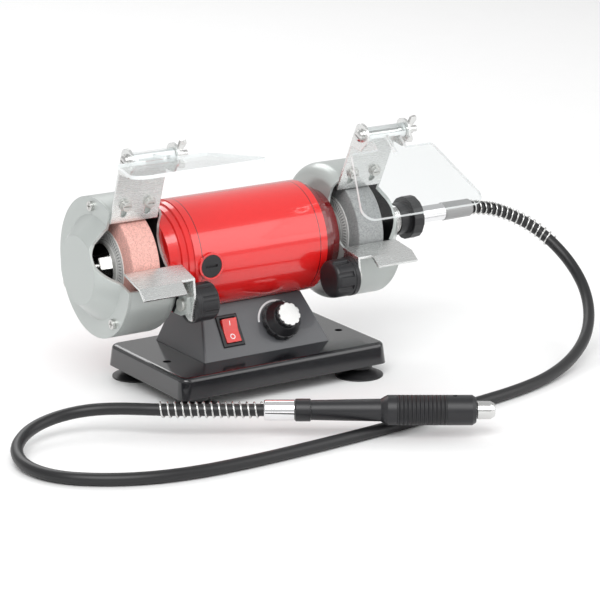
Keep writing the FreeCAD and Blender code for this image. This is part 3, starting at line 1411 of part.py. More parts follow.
def collet_nut():
    """Nut that closes the collet on the shank of a tool."""
    nut = turned_on_x([
        (COLLET_START, 0),
        (COLLET_START, COLLET_NUT_RADIUS - 0.3),
        (COLLET_START + 0.5, COLLET_NUT_RADIUS),
        (COLLET_END - 3.0, COLLET_NUT_RADIUS),
        (COLLET_END - 0.6, COLLET_NUT_RADIUS - 1.3),
        (COLLET_END, COLLET_NUT_RADIUS - 1.9),
        (COLLET_END, 0),
    ])
    nut = nut.cut(rod(SPINDLE_RADIUS, (COLLET_START - 1, 0, 0), (SPINDLE_END + 0.4, 0, 0)))
    return on_handpiece(nut.cut(rod(COLLET_BORE_RADIUS, (130, 0, 0), (150, 0, 0))))


# ---------------------------------------------------------------- assembly
def build():
    """Make every piece and write each to its own file."""
    os.makedirs("parts", exist_ok=True)
    save("base_tray", base_tray())
    for name, (x, y) in foot_places().items():
        save(name, foot(x, y))
    save("bottom_plate", bottom_plate())
    save("base_screws", base_screws())
    save("pedestal_housing", pedestal_housing())
    save("switch_frame", switch_frame())
    save("switch_rocker", switch_rocker())
    save("speed_potentiometer", speed_potentiometer())
    save("speed_dial", speed_dial())
    save("dial_cap", dial_cap())
    save("circuit_board", circuit_board())
    save("cable_gland", cable_gland())
    save("motor_sleeve", motor_sleeve())
    save("bearings", bearings())
    save("field_core", field_core())
    save("field_coils", field_coils())
    save("brush_holders", brush_holders())
    save("carbon_brushes", carbon_brushes())
    save("brush_caps", brush_caps())
    save("rotor_shaft", rotor_shaft())
    save("armature_core", armature_core())
    save("commutator", commutator())
    save("cooling_fan", cooling_fan())
    save("wheel_blotters", wheel_blotters())
    save("wheel_flanges", wheel_flanges())
    save("wheel_nuts", wheel_nuts())
    save("cover_screws", group([s for side in SIDES for s in cover_screws(side).Solids]))
    save("bracket_screws", group([s for side in SIDES for s in bracket_screws(side).Solids]))
    save("rest_studs", rest_studs())
    for side in SIDES:
        save("end_bell_" + side, end_bell(side))
        save("wheel_" + side, wheel(side))
        save("guard_drum_" + side, guard_drum(side))
        save("guard_cover_" + side, guard_cover(side))
        save("spark_bracket_" + side, spark_bracket(side))
        save("hinge_bolt_" + side, hinge_bolt(side))
        save("wing_nut_" + side, wing_nut(side))
        save("visor_" + side, visor(side))
        save("tool_rest_" + side, tool_rest(side))
        save("clamp_knob_" + side, clamp_knob(side))
    save("flex_nozzle", flex_nozzle())
    save("flex_nut", flex_nut())
    save("hose_ferrules", group([flex_ferrule(), handpiece_ferrule()]))
    edges, radii = hose_path(hose_points())
    save("flex_hose", flex_hose(edges, radii))
    save("strain_springs", strain_springs(edges))
    save("handpiece_collar", handpiece_collar())
    save("handpiece_handle", handpiece_handle())
    save("collet", group([collet_spindle(), collet_nut()]))
    print("origin shift", [round(v, 3) for v in ORIGIN])


build()
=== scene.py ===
"""Looks of a small bench grinder with a flexible drive shaft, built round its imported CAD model.

Lengths in the code are metres unless a name ends in _mm.  The machine's own frame starts at the
middle of its base on the bench, and MachineFrame turns its points into the row's frame.
"""

import logging
import math
from dataclasses import dataclass, field
from enum import Enum

import bpy
import numpy as np
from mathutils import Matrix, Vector


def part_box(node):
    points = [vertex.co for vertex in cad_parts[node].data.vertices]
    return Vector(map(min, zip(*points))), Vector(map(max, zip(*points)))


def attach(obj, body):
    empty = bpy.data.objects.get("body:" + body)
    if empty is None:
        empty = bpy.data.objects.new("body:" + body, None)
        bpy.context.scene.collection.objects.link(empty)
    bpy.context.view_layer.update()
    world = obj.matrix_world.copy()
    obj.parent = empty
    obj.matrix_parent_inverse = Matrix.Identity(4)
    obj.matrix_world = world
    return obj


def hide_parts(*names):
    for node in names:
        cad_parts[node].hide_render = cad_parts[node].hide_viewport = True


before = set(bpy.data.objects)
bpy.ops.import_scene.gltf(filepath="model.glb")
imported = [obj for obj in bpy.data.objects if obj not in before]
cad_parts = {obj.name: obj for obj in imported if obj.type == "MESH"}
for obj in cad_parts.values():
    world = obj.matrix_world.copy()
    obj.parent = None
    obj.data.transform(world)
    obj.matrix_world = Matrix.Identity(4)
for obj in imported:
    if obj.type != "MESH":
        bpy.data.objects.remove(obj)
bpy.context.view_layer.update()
LOG = logging.getLogger("grinder")

Colour = tuple[float, float, float]
Point = tuple[float, float, float]

# Shared surface effects
EDGE_SOFTNESS = 0.0006
EDGE_SAMPLES = 4
BRUSH_STRETCH = (1.0, 14.0, 14.0)
FINE_DETAIL = 3.0
BROAD_SCALE = 22.0
BROAD_DETAIL = 2.0
NOISE_MIDDLE = 0.5
ROUGHNESS_SWING = 0.18
COAT_ROUGHNESS = 0.06


class Side(Enum):
    """One end of the spindle, with its sign along X."""

    LEFT = -1
    RIGHT = 1

    @property
    def word(self) -> str:
        """The side's name as the CAD nodes write it."""
        return self.name.lower()


class Texture(Enum):
    """The shared surface effects."""

    PAINT = "paint_surface"
    BRUSHED = "brushed_surface"
    GRIT = "grit_surface"
    MOULDED = "moulded_surface"


@dataclass(frozen=True)
class MachineFrame:
    """Where the machine's own frame lies in the row's frame."""

    x: float
    y: float

    @classmethod
    def from_base(cls) -> "MachineFrame":
        """Read the middle of the base tray.

        Returns:
            The frame whose zero is under the middle of the base.
        """
        low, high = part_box("base_tray")
        return cls((low.x + high.x) / 2, (low.y + high.y) / 2)

    def at(self, point: Point) -> Vector:
        """Turn a point of the machine's frame, in metres, into the row's frame.

        Args:
            point: X, Y and Z from the middle of the base.

        Returns:
            The same point in the row's frame.
        """
        return Vector((point[0] + self.x, point[1] + self.y, point[2]))


class Graph:
    """Adds nodes to one node tree, with their inputs set by name or number."""

    def __init__(self, tree: bpy.types.NodeTree) -> None:
        self.tree = tree

    def add(self, kind: str, inputs: dict | None = None, **settings) -> bpy.types.Node:
        """Add a node.

        Args:
            kind: Blender's type name without its ShaderNode prefix.
            inputs: Values, or sockets to link from, by input name or number.
            settings: Properties of the node.

        Returns:
            The new node.
        """
        node = self.tree.nodes.new("ShaderNode" + kind)
        for key, value in settings.items():
            setattr(node, key, value)
        for key, value in (inputs or {}).items():
            if isinstance(value, bpy.types.NodeSocket):
                self.tree.links.new(value, node.inputs[key])
            else:
                node.inputs[key].default_value = value
        return node

    def maths(self, operation: str, first, second=0.0) -> bpy.types.NodeSocket:
        """Add a Math node and return its result."""
        node = self.add("Math", {0: first, 1: second}, operation=operation)
        return node.outputs[0]

    def between(self, value, low: float, high: float) -> bpy.types.NodeSocket:
        """Give 1 where a value lies between two limits and 0 elsewhere."""
        above = self.maths("GREATER_THAN", value, low)
        return self.maths("MULTIPLY", above, self.maths("LESS_THAN", value, high))

    def mix(self, factor, first, second) -> bpy.types.NodeSocket:
        """Mix two colours by a factor."""
        node = self.add("Mix", {0: factor, 6: first, 7: second}, data_type="RGBA")
        return node.outputs[2]

    def blend(self, first, share: float, second) -> bpy.types.NodeSocket:
        """Add a share of one value to the rest of another."""
        part = self.maths("MULTIPLY", first, share)
        return self.maths("ADD", part, self.maths("MULTIPLY", second, 1.0 - share))

    def reach(self, first, second) -> bpy.types.NodeSocket:
        """Return the length of a flat vector from its two parts."""
        squares = [self.maths("MULTIPLY", part, part) for part in (first, second)]
        return self.maths("SQRT", self.maths("ADD", *squares))

    def position(self) -> bpy.types.NodeSocket:
        """Return the point on the surface in the object's own frame."""
        return self.add("TexCoord").outputs["Object"]

    def offset(self, origin: Vector) -> bpy.types.NodeSocket:
        """Return the surface point counted from an origin."""
        node = self.add(
            "VectorMath", {0: self.position(), 1: tuple(origin)}, operation="SUBTRACT"
        )
        return node.outputs[0]

    def along(self, vector, direction: Vector) -> bpy.types.NodeSocket:
        """Return how far a vector reaches along a direction."""
        node = self.add("VectorMath", {0: vector, 1: tuple(direction)}, operation="DOT_PRODUCT")
        return node.outputs["Value"]


def rgba(colour: Colour) -> tuple[float, float, float, float]:
    """Add full opacity to a colour."""
    return (*colour, 1.0)


class SurfaceLibrary:
    """Builds each shared surface effect once, as a node group."""

    _done: dict[Texture, bpy.types.NodeTree] = {}

    @classmethod
    def get(cls, texture: Texture) -> bpy.types.NodeTree:
        """Return the group of one effect.

        Args:
            texture: The effect.

        Returns:
            A group with the inputs Colour, Roughness, Scale, Depth and Spread, and the
            outputs Colour, Roughness and Normal.
        """
        if texture not in cls._done:
            cls._done[texture] = cls._build(texture)
        return cls._done[texture]

    @classmethod
    def _build(cls, texture: Texture) -> bpy.types.NodeTree:
        """Make the group: noise varies colour and roughness, and bumps a softened edge."""
        group = bpy.data.node_groups.new(texture.value, "ShaderNodeTree")
        face = group.interface
        face.new_socket("Colour", in_out="INPUT", socket_type="NodeSocketColor")
        for name in ("Roughness", "Scale", "Depth", "Spread"):
            face.new_socket(name, in_out="INPUT", socket_type="NodeSocketFloat")
        face.new_socket("Colour", in_out="OUTPUT", socket_type="NodeSocketColor")
        face.new_socket("Roughness", in_out="OUTPUT", socket_type="NodeSocketFloat")
        face.new_socket("Normal", in_out="OUTPUT", socket_type="NodeSocketVector")
        g = Graph(group)
        given = group.nodes.new("NodeGroupInput").outputs
        place = g.position()
        if texture is Texture.BRUSHED:
            place = g.add("Mapping", {"Vector": place, "Scale": BRUSH_STRETCH}).outputs[0]
        fine = g.add(
            "TexNoise", {"Vector": place, "Scale": given["Scale"], "Detail": FINE_DETAIL}
        ).outputs[0]
        broad = g.add(
            "TexNoise", {"Vector": place, "Scale": BROAD_SCALE, "Detail": BROAD_DETAIL}
        ).outputs[0]
        height = fine
        shade = g.blend(fine, 0.6, broad)
        if texture is Texture.GRIT:
            cells = g.add("TexVoronoi", {"Vector": place, "Scale": given["Scale"]})
            height = cells.outputs["Distance"]
            grey = g.add("SeparateColor", {0: cells.outputs["Color"]}).outputs[0]
            shade = g.blend(grey, 0.7, fine)
        centred = g.maths("SUBTRACT", shade, NOISE_MIDDLE)
        swing = g.maths("MULTIPLY", centred, given["Spread"])
        value = g.maths("ADD", swing, 1.0)
        tinted = g.add(
            "HueSaturation", {"Color": given["Colour"], "Value": value}
        ).outputs[0]
        rough = g.maths("ADD", given["Roughness"], g.maths("MULTIPLY", centred, ROUGHNESS_SWING))
        edge = g.add("Bevel", {"Radius": EDGE_SOFTNESS}, samples=EDGE_SAMPLES)
        bump = g.add(
            "Bump",
            {"Height": height, "Distance": given["Depth"], "Normal": edge.outputs[0]},
        )
        out = group.nodes.new("NodeGroupOutput")
        group.links.new(tinted, out.inputs["Colour"])
        group.links.new(rough, out.inputs["Roughness"])
        group.links.new(bump.outputs[0], out.inputs["Normal"])
        return group


@dataclass(frozen=True)
class Finish:
    """A solid material with one shared surface effect."""

    name: str
    colour: Colour
    texture: Texture = Texture.MOULDED
    roughness: float = 0.45
    metallic: float = 0.0
    coat: float = 0.0
    scale: float = 900.0
    depth: float = 0.00002
    spread: float = 0.12

    def start(self) -> tuple[bpy.types.Material, Graph, bpy.types.Node, bpy.types.Node]:
        """Make the material with its surface effect joined to a Principled shader.

        Returns:
            The material, its graph, the effect's node and the shader.
        """
        material = bpy.data.materials.new(self.name)
        material.use_nodes = True
        material.node_tree.nodes.clear()
        g = Graph(material.node_tree)
        effect = g.add("Group", node_tree=SurfaceLibrary.get(self.texture))
        effect.inputs["Colour"].default_value = rgba(self.colour)
        effect.inputs["Roughness"].default_value = self.roughness
        effect.inputs["Scale"].default_value = self.scale
        effect.inputs["Depth"].default_value = self.depth
        effect.inputs["Spread"].default_value = self.spread
        shader = g.add(
            "BsdfPrincipled",
            {
                "Base Color": effect.outputs["Colour"],
                "Roughness": effect.outputs["Roughness"],
                "Normal": effect.outputs["Normal"],
                "Metallic": self.metallic,
                "Coat Weight": self.coat,
                "Coat Roughness": COAT_ROUGHNESS,
            },
        )
        out = g.add("OutputMaterial")
        g.tree.links.new(shader.outputs[0], out.inputs["Surface"])
        return material, g, effect, shader

    def build(self) -> bpy.types.Material:
        """Return the finished material."""
        return self.start()[0]

    def masked(self, mask_of, second: Colour) -> bpy.types.Material:
        """Return the material with a second colour where a mask is 1.

        Args:
            mask_of: A function that adds the mask to a Graph and returns its socket.
            second: The colour there.

        Returns:
            The finished material.
        """
        material, g, effect, shader = self.start()
        mask = mask_of(g)
        colour = g.mix(mask, effect.outputs["Colour"], rgba(second))
        g.tree.links.new(colour, shader.inputs["Base Color"])
        metal = g.maths("MULTIPLY", g.maths("SUBTRACT", 1.0, mask), self.metallic)
        g.tree.links.new(metal, shader.inputs["Metallic"])
        return material


BLACK_PLASTIC = Finish("black_plastic", (0.012, 0.012, 0.014), roughness=0.38, spread=0.3)
BLACK_GLOSS = Finish(
    "black_gloss", (0.01, 0.01, 0.012), Texture.PAINT, 0.16, coat=0.6, scale=300.0, depth=0.00001
)
RUBBER = Finish("rubber", (0.012, 0.012, 0.013), roughness=0.42, scale=1400.0, spread=0.3)
PANEL = Finish("panel_paint", (0.085, 0.088, 0.095), Texture.PAINT, 0.36, coat=0.25, scale=1500.0)
RED_PAINT = Finish(
    "red_paint", (0.74, 0.012, 0.012), Texture.PAINT, 0.22, coat=1.0, scale=260.0, depth=0.00001
)
# Painted shade: a darker copy of the red paint, for the right end bell.
SHADED_RED_PAINT = Finish("shaded_red_paint", (0.16, 0.006, 0.008), Texture.PAINT, 0.24, coat=0.8)
GUARD_PAINT = Finish(
    "guard_paint", (0.47, 0.50, 0.485), Texture.PAINT, 0.32, metallic=0.35, coat=0.2, scale=1700.0
)
ZINC = Finish("zinc_sheet", (0.76, 0.77, 0.76), Texture.BRUSHED, 0.27, 0.95, scale=130.0)
STEEL = Finish("bright_steel", (0.68, 0.68, 0.67), Texture.BRUSHED, 0.22, 1.0, scale=160.0)
CHROME = Finish(
    "chrome", (0.86, 0.86, 0.87), Texture.BRUSHED, 0.10, 1.0, scale=90.0, depth=0.000004
)
FASTENER = Finish("zinc_fastener", (0.66, 0.66, 0.64), Texture.BRUSHED, 0.30, 1.0, scale=220.0)
BRASS = Finish("brass", (0.62, 0.42, 0.18), Texture.BRUSHED, 0.30, 1.0, scale=200.0)
COPPER = Finish("winding", (0.48, 0.17, 0.07), Texture.BRUSHED, 0.36, 0.9, scale=300.0)
IRON = Finish("lamination", (0.22, 0.22, 0.23), Texture.BRUSHED, 0.45, 0.9, scale=400.0)
BOARD = Finish("board", (0.01, 0.10, 0.04), roughness=0.4)
CARBON = Finish("carbon", (0.02, 0.02, 0.02), roughness=0.7)
PINK_GRIT = Finish(
    "pink_abrasive", (0.74, 0.40, 0.35), Texture.GRIT, 0.85, scale=1500.0, depth=0.0002, spread=0.55
)
GREY_GRIT = Finish(
    "grey_abrasive", (0.32, 0.33, 0.33), Texture.GRIT, 0.85, scale=1500.0, depth=0.0002, spread=0.6
)
PAPER = Finish("label_paper", (0.82, 0.82, 0.80), roughness=0.6, scale=2500.0, spread=0.08)
SWITCH_RED = Finish("switch_red", (0.70, 0.015, 0.010), roughness=0.2, coat=0.6, spread=0.06)
CAP_SILVER = Finish("dial_silver", (0.62, 0.62, 0.61), Texture.BRUSHED, 0.32, 0.85, scale=260.0)
FLOOR_PAPER = Finish("floor_paper", (0.90, 0.90, 0.90), roughness=0.7, scale=60.0, spread=0.02)
HOSE_COVER = Finish(
    "hose_cover", (0.010, 0.010, 0.011), roughness=0.4, scale=2200.0, spread=0.4
)
# Painted shade: black put on the guards' faces within the hollow.
HOLLOW_SHADE = (0.012, 0.012, 0.013)
CRIMP_GREY = (0.30, 0.30, 0.30)
LABEL_INK = (0.20, 0.20, 0.21)
SCALE_WHITE = (0.75, 0.76, 0.77)
ROCKER_WHITE = (0.9, 0.85, 0.85)
POINTER_WHITE = (0.95, 0.95, 0.95)
SEAM_RED = (0.06, 0.002, 0.006)


def dress(node: str, material: bpy.types.Material) -> None:
    """Give a CAD node's object a material.

    Args:
        node: The node's name.
        material: The material of every slot.
    """
    for slot in bpy.data.objects[node].material_slots:
        slot.material = material


@dataclass
class Studio:
    """Pale floor, soft lights and the camera."""

    place: MachineFrame
    azimuth: float = -32.67
    elevation: float = 15.9
    distance: float = 1.870
    lens: float = 163.7
    target: Point = (0.0423, 0.0, 0.0468)
    world: float = 0.62
    floor_half: float = 4.0
    lamp_aim: Point = (0.0, 0.0, 0.08)

    def direction(self) -> Vector:
        """Return the unit vector from the target to the camera."""
        a, e = math.radians(self.azimuth), math.radians(self.elevation)
        return Vector((math.sin(a) * math.cos(e), -math.cos(a) * math.cos(e), math.sin(e)))

    def light(self, name: str, place: Point, size: float, power: float) -> None:
        """Add a square lamp that faces the machine.

        Args:
            name: The lamp's name.
            place: Its place, in metres.
            size: The length of its side.
            power: Watts.
        """
        lamp = bpy.data.lights.new(name, "AREA")
        lamp.size = size
        lamp.energy = power
        holder = bpy.data.objects.new(name, lamp)
        holder.location = place
        aim = Vector(self.lamp_aim) - Vector(place)
        holder.rotation_euler = aim.to_track_quat("-Z", "Y").to_euler()
        bpy.context.scene.collection.objects.link(holder)

    def build(self) -> None:
        """Make the camera, floor, lamps and surroundings."""
        scene = bpy.context.scene
        scene.view_settings.view_transform = "Standard"
        camera = bpy.data.cameras.new("camera")
        camera.lens = self.lens
        camera.sensor_width = 36.0
        holder = bpy.data.objects.new("camera", camera)
        holder.location = self.place.at(self.target) + self.direction() * self.distance
        holder.rotation_euler = (-self.direction()).to_track_quat("-Z", "Y").to_euler()
        scene.collection.objects.link(holder)
        scene.camera = holder
        self.light("key", (-0.9, -1.1, 1.5), 1.3, 26.0)
        self.light("fill", (1.3, -1.2, 0.9), 1.4, 11.0)
        self.light("back", (0.2, 1.5, 1.4), 1.2, 12.0)
        world = bpy.data.worlds.new("surroundings")
        world.use_nodes = True
        back = world.node_tree.nodes["Background"]
        back.inputs[0].default_value = (1.0, 1.0, 1.0, 1.0)
        back.inputs[1].default_value = self.world
        scene.world = world
        half = self.floor_half
        mesh = bpy.data.meshes.new("floor")
        corners = [(-half, -half, 0), (half, -half, 0), (half, half, 0), (-half, half, 0)]
        mesh.from_pydata(corners, [], [(0, 1, 2, 3)])
        floor = bpy.data.objects.new("floor", mesh)
        mesh.materials.append(FLOOR_PAPER.build())
        scene.collection.objects.link(floor)


def tube_mesh(name: str, line: np.ndarray, radius: float, sides: int = 8) -> bpy.types.Object:
    """Make a round tube along a line.

    Each ring is the circle of the given radius in the plane square to the line's direction,
    set out on two axes that are carried along the line by projection.

    Args:
        name: The object's name.
        line: Points, one to a row.
        radius: The tube's radius.
        sides: Vertices in a ring.

    Returns:
        The new object.
    """
    tangent, first, second = carried_axes(line)
    angle = np.linspace(0, 2 * np.pi, sides, endpoint=False)
    across = np.cos(angle)[None, :, None] * first[:, None]
    upward = np.sin(angle)[None, :, None] * second[:, None]
    rings = line[:, None] + radius * (across + upward)
    count = len(line)
    i, j = np.meshgrid(np.arange(count - 1), np.arange(sides), indexing="ij")
    k = (j + 1) % sides
    quads = np.stack([i * sides + j, i * sides + k, (i + 1) * sides + k, (i + 1) * sides + j], -1)
    mesh = bpy.data.meshes.new(name)
    caps = [list(range(sides))[::-1], list(range((count - 1) * sides, count * sides))]
    mesh.from_pydata(rings.reshape(-1, 3).tolist(), [], quads.reshape(-1, 4).tolist() + caps)
    mesh.shade_smooth()
    thing = bpy.data.objects.new(name, mesh)
    bpy.context.scene.collection.objects.link(thing)
    return thing


def carried_axes(line: np.ndarray) -> tuple[np.ndarray, np.ndarray, np.ndarray]:
    """Work out a direction and two square axes at each point of a line.

    The first axis is a fixed reference with its part along the line taken out, and the second
    is square to both.

    Args:
        line: Points, one to a row.

    Returns:
        Unit tangents, first axes and second axes.
    """
    tangent = np.gradient(line, axis=0)
    tangent /= np.linalg.norm(tangent, axis=1, keepdims=True)
    reference = np.array([0.13, 0.21, 0.97])
    first = reference - (tangent @ reference)[:, None] * tangent
    first /= np.linalg.norm(first, axis=1, keepdims=True)
    return tangent, first, np.cross(tangent, first)


@dataclass
class FlexShaft:
    """Hose with its end springs, ferrules and handpiece."""

    place: MachineFrame
    diameter: float = 0.008
    wire: float = 0.00066
    near_reach: float = 0.070
    far_reach: float = 0.066
    pitch: float = 0.0046
    steps_per_turn: int = 22
    wire_stand_off: float = 1.15
    spring_inset: float = 0.0012
    crimp_start: Point = (0.169, 0.0121, 0.0896)
    handle_angle: float = -32.7
    grip_band: tuple[float, float] = (0.084, 0.116)
    grip_pitch: float = 0.0026
    grip_depth: float = 0.0006
    route: tuple[Point, ...] = (
        (0.1937, 0.0121, 0.0896),
        (0.2101, 0.0116, 0.0875),
        (0.2266, 0.0072, 0.0809),
        (0.2404, -0.0017, 0.0721),
        (0.2497, -0.0143, 0.0611),
        (0.2541, -0.0303, 0.0484),
        (0.2519, -0.0484, 0.0358),
        (0.2415, -0.0682, 0.0237),
        (0.2222, -0.0891, 0.0138),
        (0.1947, -0.1084, 0.0072),
        (0.1617, -0.1254, 0.0044),
        (0.1254, -0.1370, 0.0041),
        (0.0880, -0.1436, 0.0041),
        (0.0495, -0.1492, 0.0041),
        (0.0110, -0.1540, 0.0041),
        (-0.0286, -0.1581, 0.0041),
        (-0.0660, -0.1610, 0.0041),
        (-0.1012, -0.1627, 0.0041),
        (-0.1342, -0.1619, 0.0041),
        (-0.1639, -0.1560, 0.0041),
        (-0.1900, -0.1435, 0.0041),
        (-0.2120, -0.1242, 0.0041),
        (-0.2200, -0.0991, 0.0046),
        (-0.2154, -0.0755, 0.0064),
        (-0.2027, -0.0584, 0.0088),
        (-0.1867, -0.0489, 0.0116),
        (-0.1682, -0.0463, 0.0140),
        (-0.1501, -0.0511, 0.0160),
        (-0.1346, -0.0630, 0.0175),
        (-0.1144, -0.0827, 0.0183),
        (-0.0871, -0.1003, 0.0183),
        (-0.0603, -0.1177, 0.0183),
    )

    def curve(self, name: str, radius: float) -> bpy.types.Object:
        """Make the hose's curve through its control points.

        Args:
            name: The object's name.
            radius: The hose's radius, or 0 for a bare line.

        Returns:
            The new curve object.
        """
        data = bpy.data.curves.new(name, "CURVE")
        data.dimensions = "3D"
        data.resolution_u = 12
        data.bevel_depth = radius
        data.bevel_resolution = 6
        data.use_fill_caps = radius > 0
        spline = data.splines.new("NURBS")
        spline.points.add(len(self.route) - 1)
        for point, place in zip(spline.points, self.route):
            point.co = (*self.place.at(place), 1.0)
        spline.order_u = 3
        spline.use_endpoint_u = True
        thing = bpy.data.objects.new(name, data)
        bpy.context.scene.collection.objects.link(thing)
        return thing

    def centreline(self) -> np.ndarray:
        """Read the smooth centreline of the hose, as points one to a row."""
        line = self.curve("centreline", 0.0)
        bpy.context.view_layer.update()
        mesh = bpy.data.meshes.new_from_object(line)
        points = np.array([tuple(v.co) for v in mesh.vertices])
        bpy.data.objects.remove(line)
        bpy.data.meshes.remove(mesh)
        return points

    def spring(self, name: str, line: np.ndarray, start: float, end: float) -> bpy.types.Object:
        """Wind a spring round a stretch of the hose.

        The wire's middle turns evenly round the centreline at one pitch, just outside the hose.

        Args:
            name: The object's name.
            line: The hose's centreline.
            start: Distance along the line where the spring starts.
            end: Distance where it ends.

        Returns:
            The new spring.
        """
        steps = np.linalg.norm(np.diff(line, axis=0), axis=1)
        reach = np.concatenate([[0.0], np.cumsum(steps)])
        count = int((end - start) / self.pitch * self.steps_per_turn)
        s = np.linspace(start, end, count)
        centre = np.stack([np.interp(s, reach, line[:, k]) for k in range(3)], axis=1)
        _, first, second = carried_axes(centre)
        turn = 2 * np.pi * (s - start) / self.pitch
        out = self.diameter / 2 + self.wire * self.wire_stand_off
        wound = centre + out * (np.cos(turn)[:, None] * first + np.sin(turn)[:, None] * second)
        return tube_mesh(name, wound, self.wire, 8)

    def build(self) -> None:
        hose = self.curve("hose", self.diameter / 2)
        hose.data.materials.append(HOSE_COVER.build())
        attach(hose, "stand")
        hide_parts("flex_hose")
        line = self.centreline()
        length = float(np.linalg.norm(np.diff(line, axis=0), axis=1).sum())
        LOG.info("hose length %.3f", length)
        wire = STEEL.build()
        last = length - self.spring_inset
        springs = [
            self.spring("spring_near", line, self.spring_inset, self.near_reach),
            self.spring("spring_far", line, length - self.far_reach, last),
        ]
        for coil in springs:
            coil.data.materials.append(wire)
            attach(coil, "stand")
        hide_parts("strain_springs")
        tuple(self.place.at(self.route[0]))
        dress("hose_ferrules", self.ferrules())
        dress("handpiece_collar", BLACK_PLASTIC.build())
        dress("handpiece_handle", self.handle())
        dress("collet", STEEL.build())
        dress("flex_nut", BLACK_PLASTIC.build())
        dress("flex_nozzle", STEEL.build())

    def ferrules(self) -> bpy.types.Material:
        """Bright ferrule with a greyer crimped tail."""
        tail = self.place.at(self.crimp_start)

        def crimped(g: Graph) -> bpy.types.NodeSocket:
            """Mark the tail, past its start along X."""
            return g.maths("GREATER_THAN", g.along(g.offset(tail), Vector((1, 0, 0))), 0.0)

        return CHROME.masked(crimped, CRIMP_GREY)

    def handle(self) -> bpy.types.Material:
        """Black handle with fine grip rings on its thick part."""
        material, g, effect, shader = BLACK_PLASTIC.start()
        start = self.place.at(self.route[-1])
        angle = math.radians(self.handle_angle)
        axis = Vector((math.cos(angle), math.sin(angle), 0.0))
        reach = g.along(g.offset(start), axis)
        wave = g.maths("SINE", g.maths("MULTIPLY", reach, 2 * math.pi / self.grip_pitch))
        grip = g.between(reach, *self.grip_band)
        height = g.maths("MULTIPLY", wave, grip)
        bump = g.add(
            "Bump",
            {
                "Height": height,
                "Distance": self.grip_depth,
                "Normal": effect.outputs["Normal"],
            },
        )
        g.tree.links.new(bump.outputs[0], shader.inputs["Normal"])
        return material


@dataclass
class Guards:
    """Wheel guards, wheels and what fixes them."""

    place: MachineFrame
    axis: Point = (0.0, 0.0121, 0.0896)
    radius: float = 0.0473
    wall: float = 0.0017
    outer_ring: tuple[float, float] = (0.0232, 0.0236)
    inner_ring: tuple[float, float] = (0.0172, 0.0175)
    stroke_band: tuple[float, float] = (0.0185, 0.0222)
    strokes: int = 64
    stroke_share: float = 0.35
    stroke_strength: float = 0.75

    def guard(self, side: Side, inward: float) -> bpy.types.Material:
        """Grey outside, with painted shade in black on the faces within the hollow.

        Args:
            side: The guard's side.
            inward: The sign along the outward X of the faces that look into the hollow.

        Returns:
            The material.
        """
        middle = self.place.at(self.axis)
        limit = self.radius - self.wall / 2

        def inside(g: Graph) -> bpy.types.NodeSocket:
            """Mark where the painted shade goes: faces that look at the axis, or along it into the
            hollow.
            """
            away = g.add("VectorMath", {0: g.offset(middle), 1: (0, 1, 1)}, operation="MULTIPLY")
            gap = g.add("VectorMath", {0: away.outputs[0]}, operation="LENGTH").outputs["Value"]
            unit = g.add("VectorMath", {0: away.outputs[0]}, operation="NORMALIZE").outputs[0]
            normal = g.add("TexCoord").outputs["Normal"]
            facing = g.add("VectorMath", {0: normal, 1: unit}, operation="DOT_PRODUCT")
            to_axis = g.maths("LESS_THAN", facing.outputs["Value"], -0.25)
            sideways = g.along(normal, Vector((side.value * inward, 0, 0)))
            into_hollow = g.maths("GREATER_THAN", sideways, 0.5)
            within = g.maths("LESS_THAN", gap, limit)
            return g.maths("MULTIPLY", g.maths("MAXIMUM", to_axis, into_hollow), within)

        # The black within the hollow is painted shade.
        return GUARD_PAINT.masked(inside, HOLLOW_SHADE)

    def label(self) -> bpy.types.Material:
        """Paper disc with plain printed rings and a hatched band."""
        middle = self.place.at(self.axis)

        def print_marks(g: Graph) -> bpy.types.NodeSocket:
            """Mark two rings and short radial strokes between them."""
            away = g.offset(middle)
            parts = g.add("SeparateXYZ", {0: away})
            y, z = parts.outputs[1], parts.outputs[2]
            gap = g.reach(y, z)
            outer, inner = (g.between(gap, *ring) for ring in (self.outer_ring, self.inner_ring))
            turn = g.maths("ARCTAN2", z, y)
            comb = g.maths("SINE", g.maths("MULTIPLY", turn, float(self.strokes)))
            strokes = g.maths(
                "MULTIPLY",
                g.maths("GREATER_THAN", comb, self.stroke_share),
                g.between(gap, *self.stroke_band),
            )
            faded = g.maths("MULTIPLY", strokes, self.stroke_strength)
            return g.maths("MINIMUM", g.maths("ADD", g.maths("ADD", outer, inner), faded), 1.0)

        return PAPER.masked(print_marks, LABEL_INK)

    def build(self) -> None:
        """Dress the guards, wheels and fixings."""
        for side in Side:
            dress("guard_drum_" + side.word, self.guard(side, 1.0))
            dress("guard_cover_" + side.word, self.guard(side, -1.0))
        dress("wheel_left", PINK_GRIT.build())
        dress("wheel_right", GREY_GRIT.build())
        dress("wheel_blotters", self.label())
        for name in ("wheel_flanges", "wheel_nuts", "rotor_shaft"):
            dress(name, STEEL.build())
        dress("cover_screws", FASTENER.build())


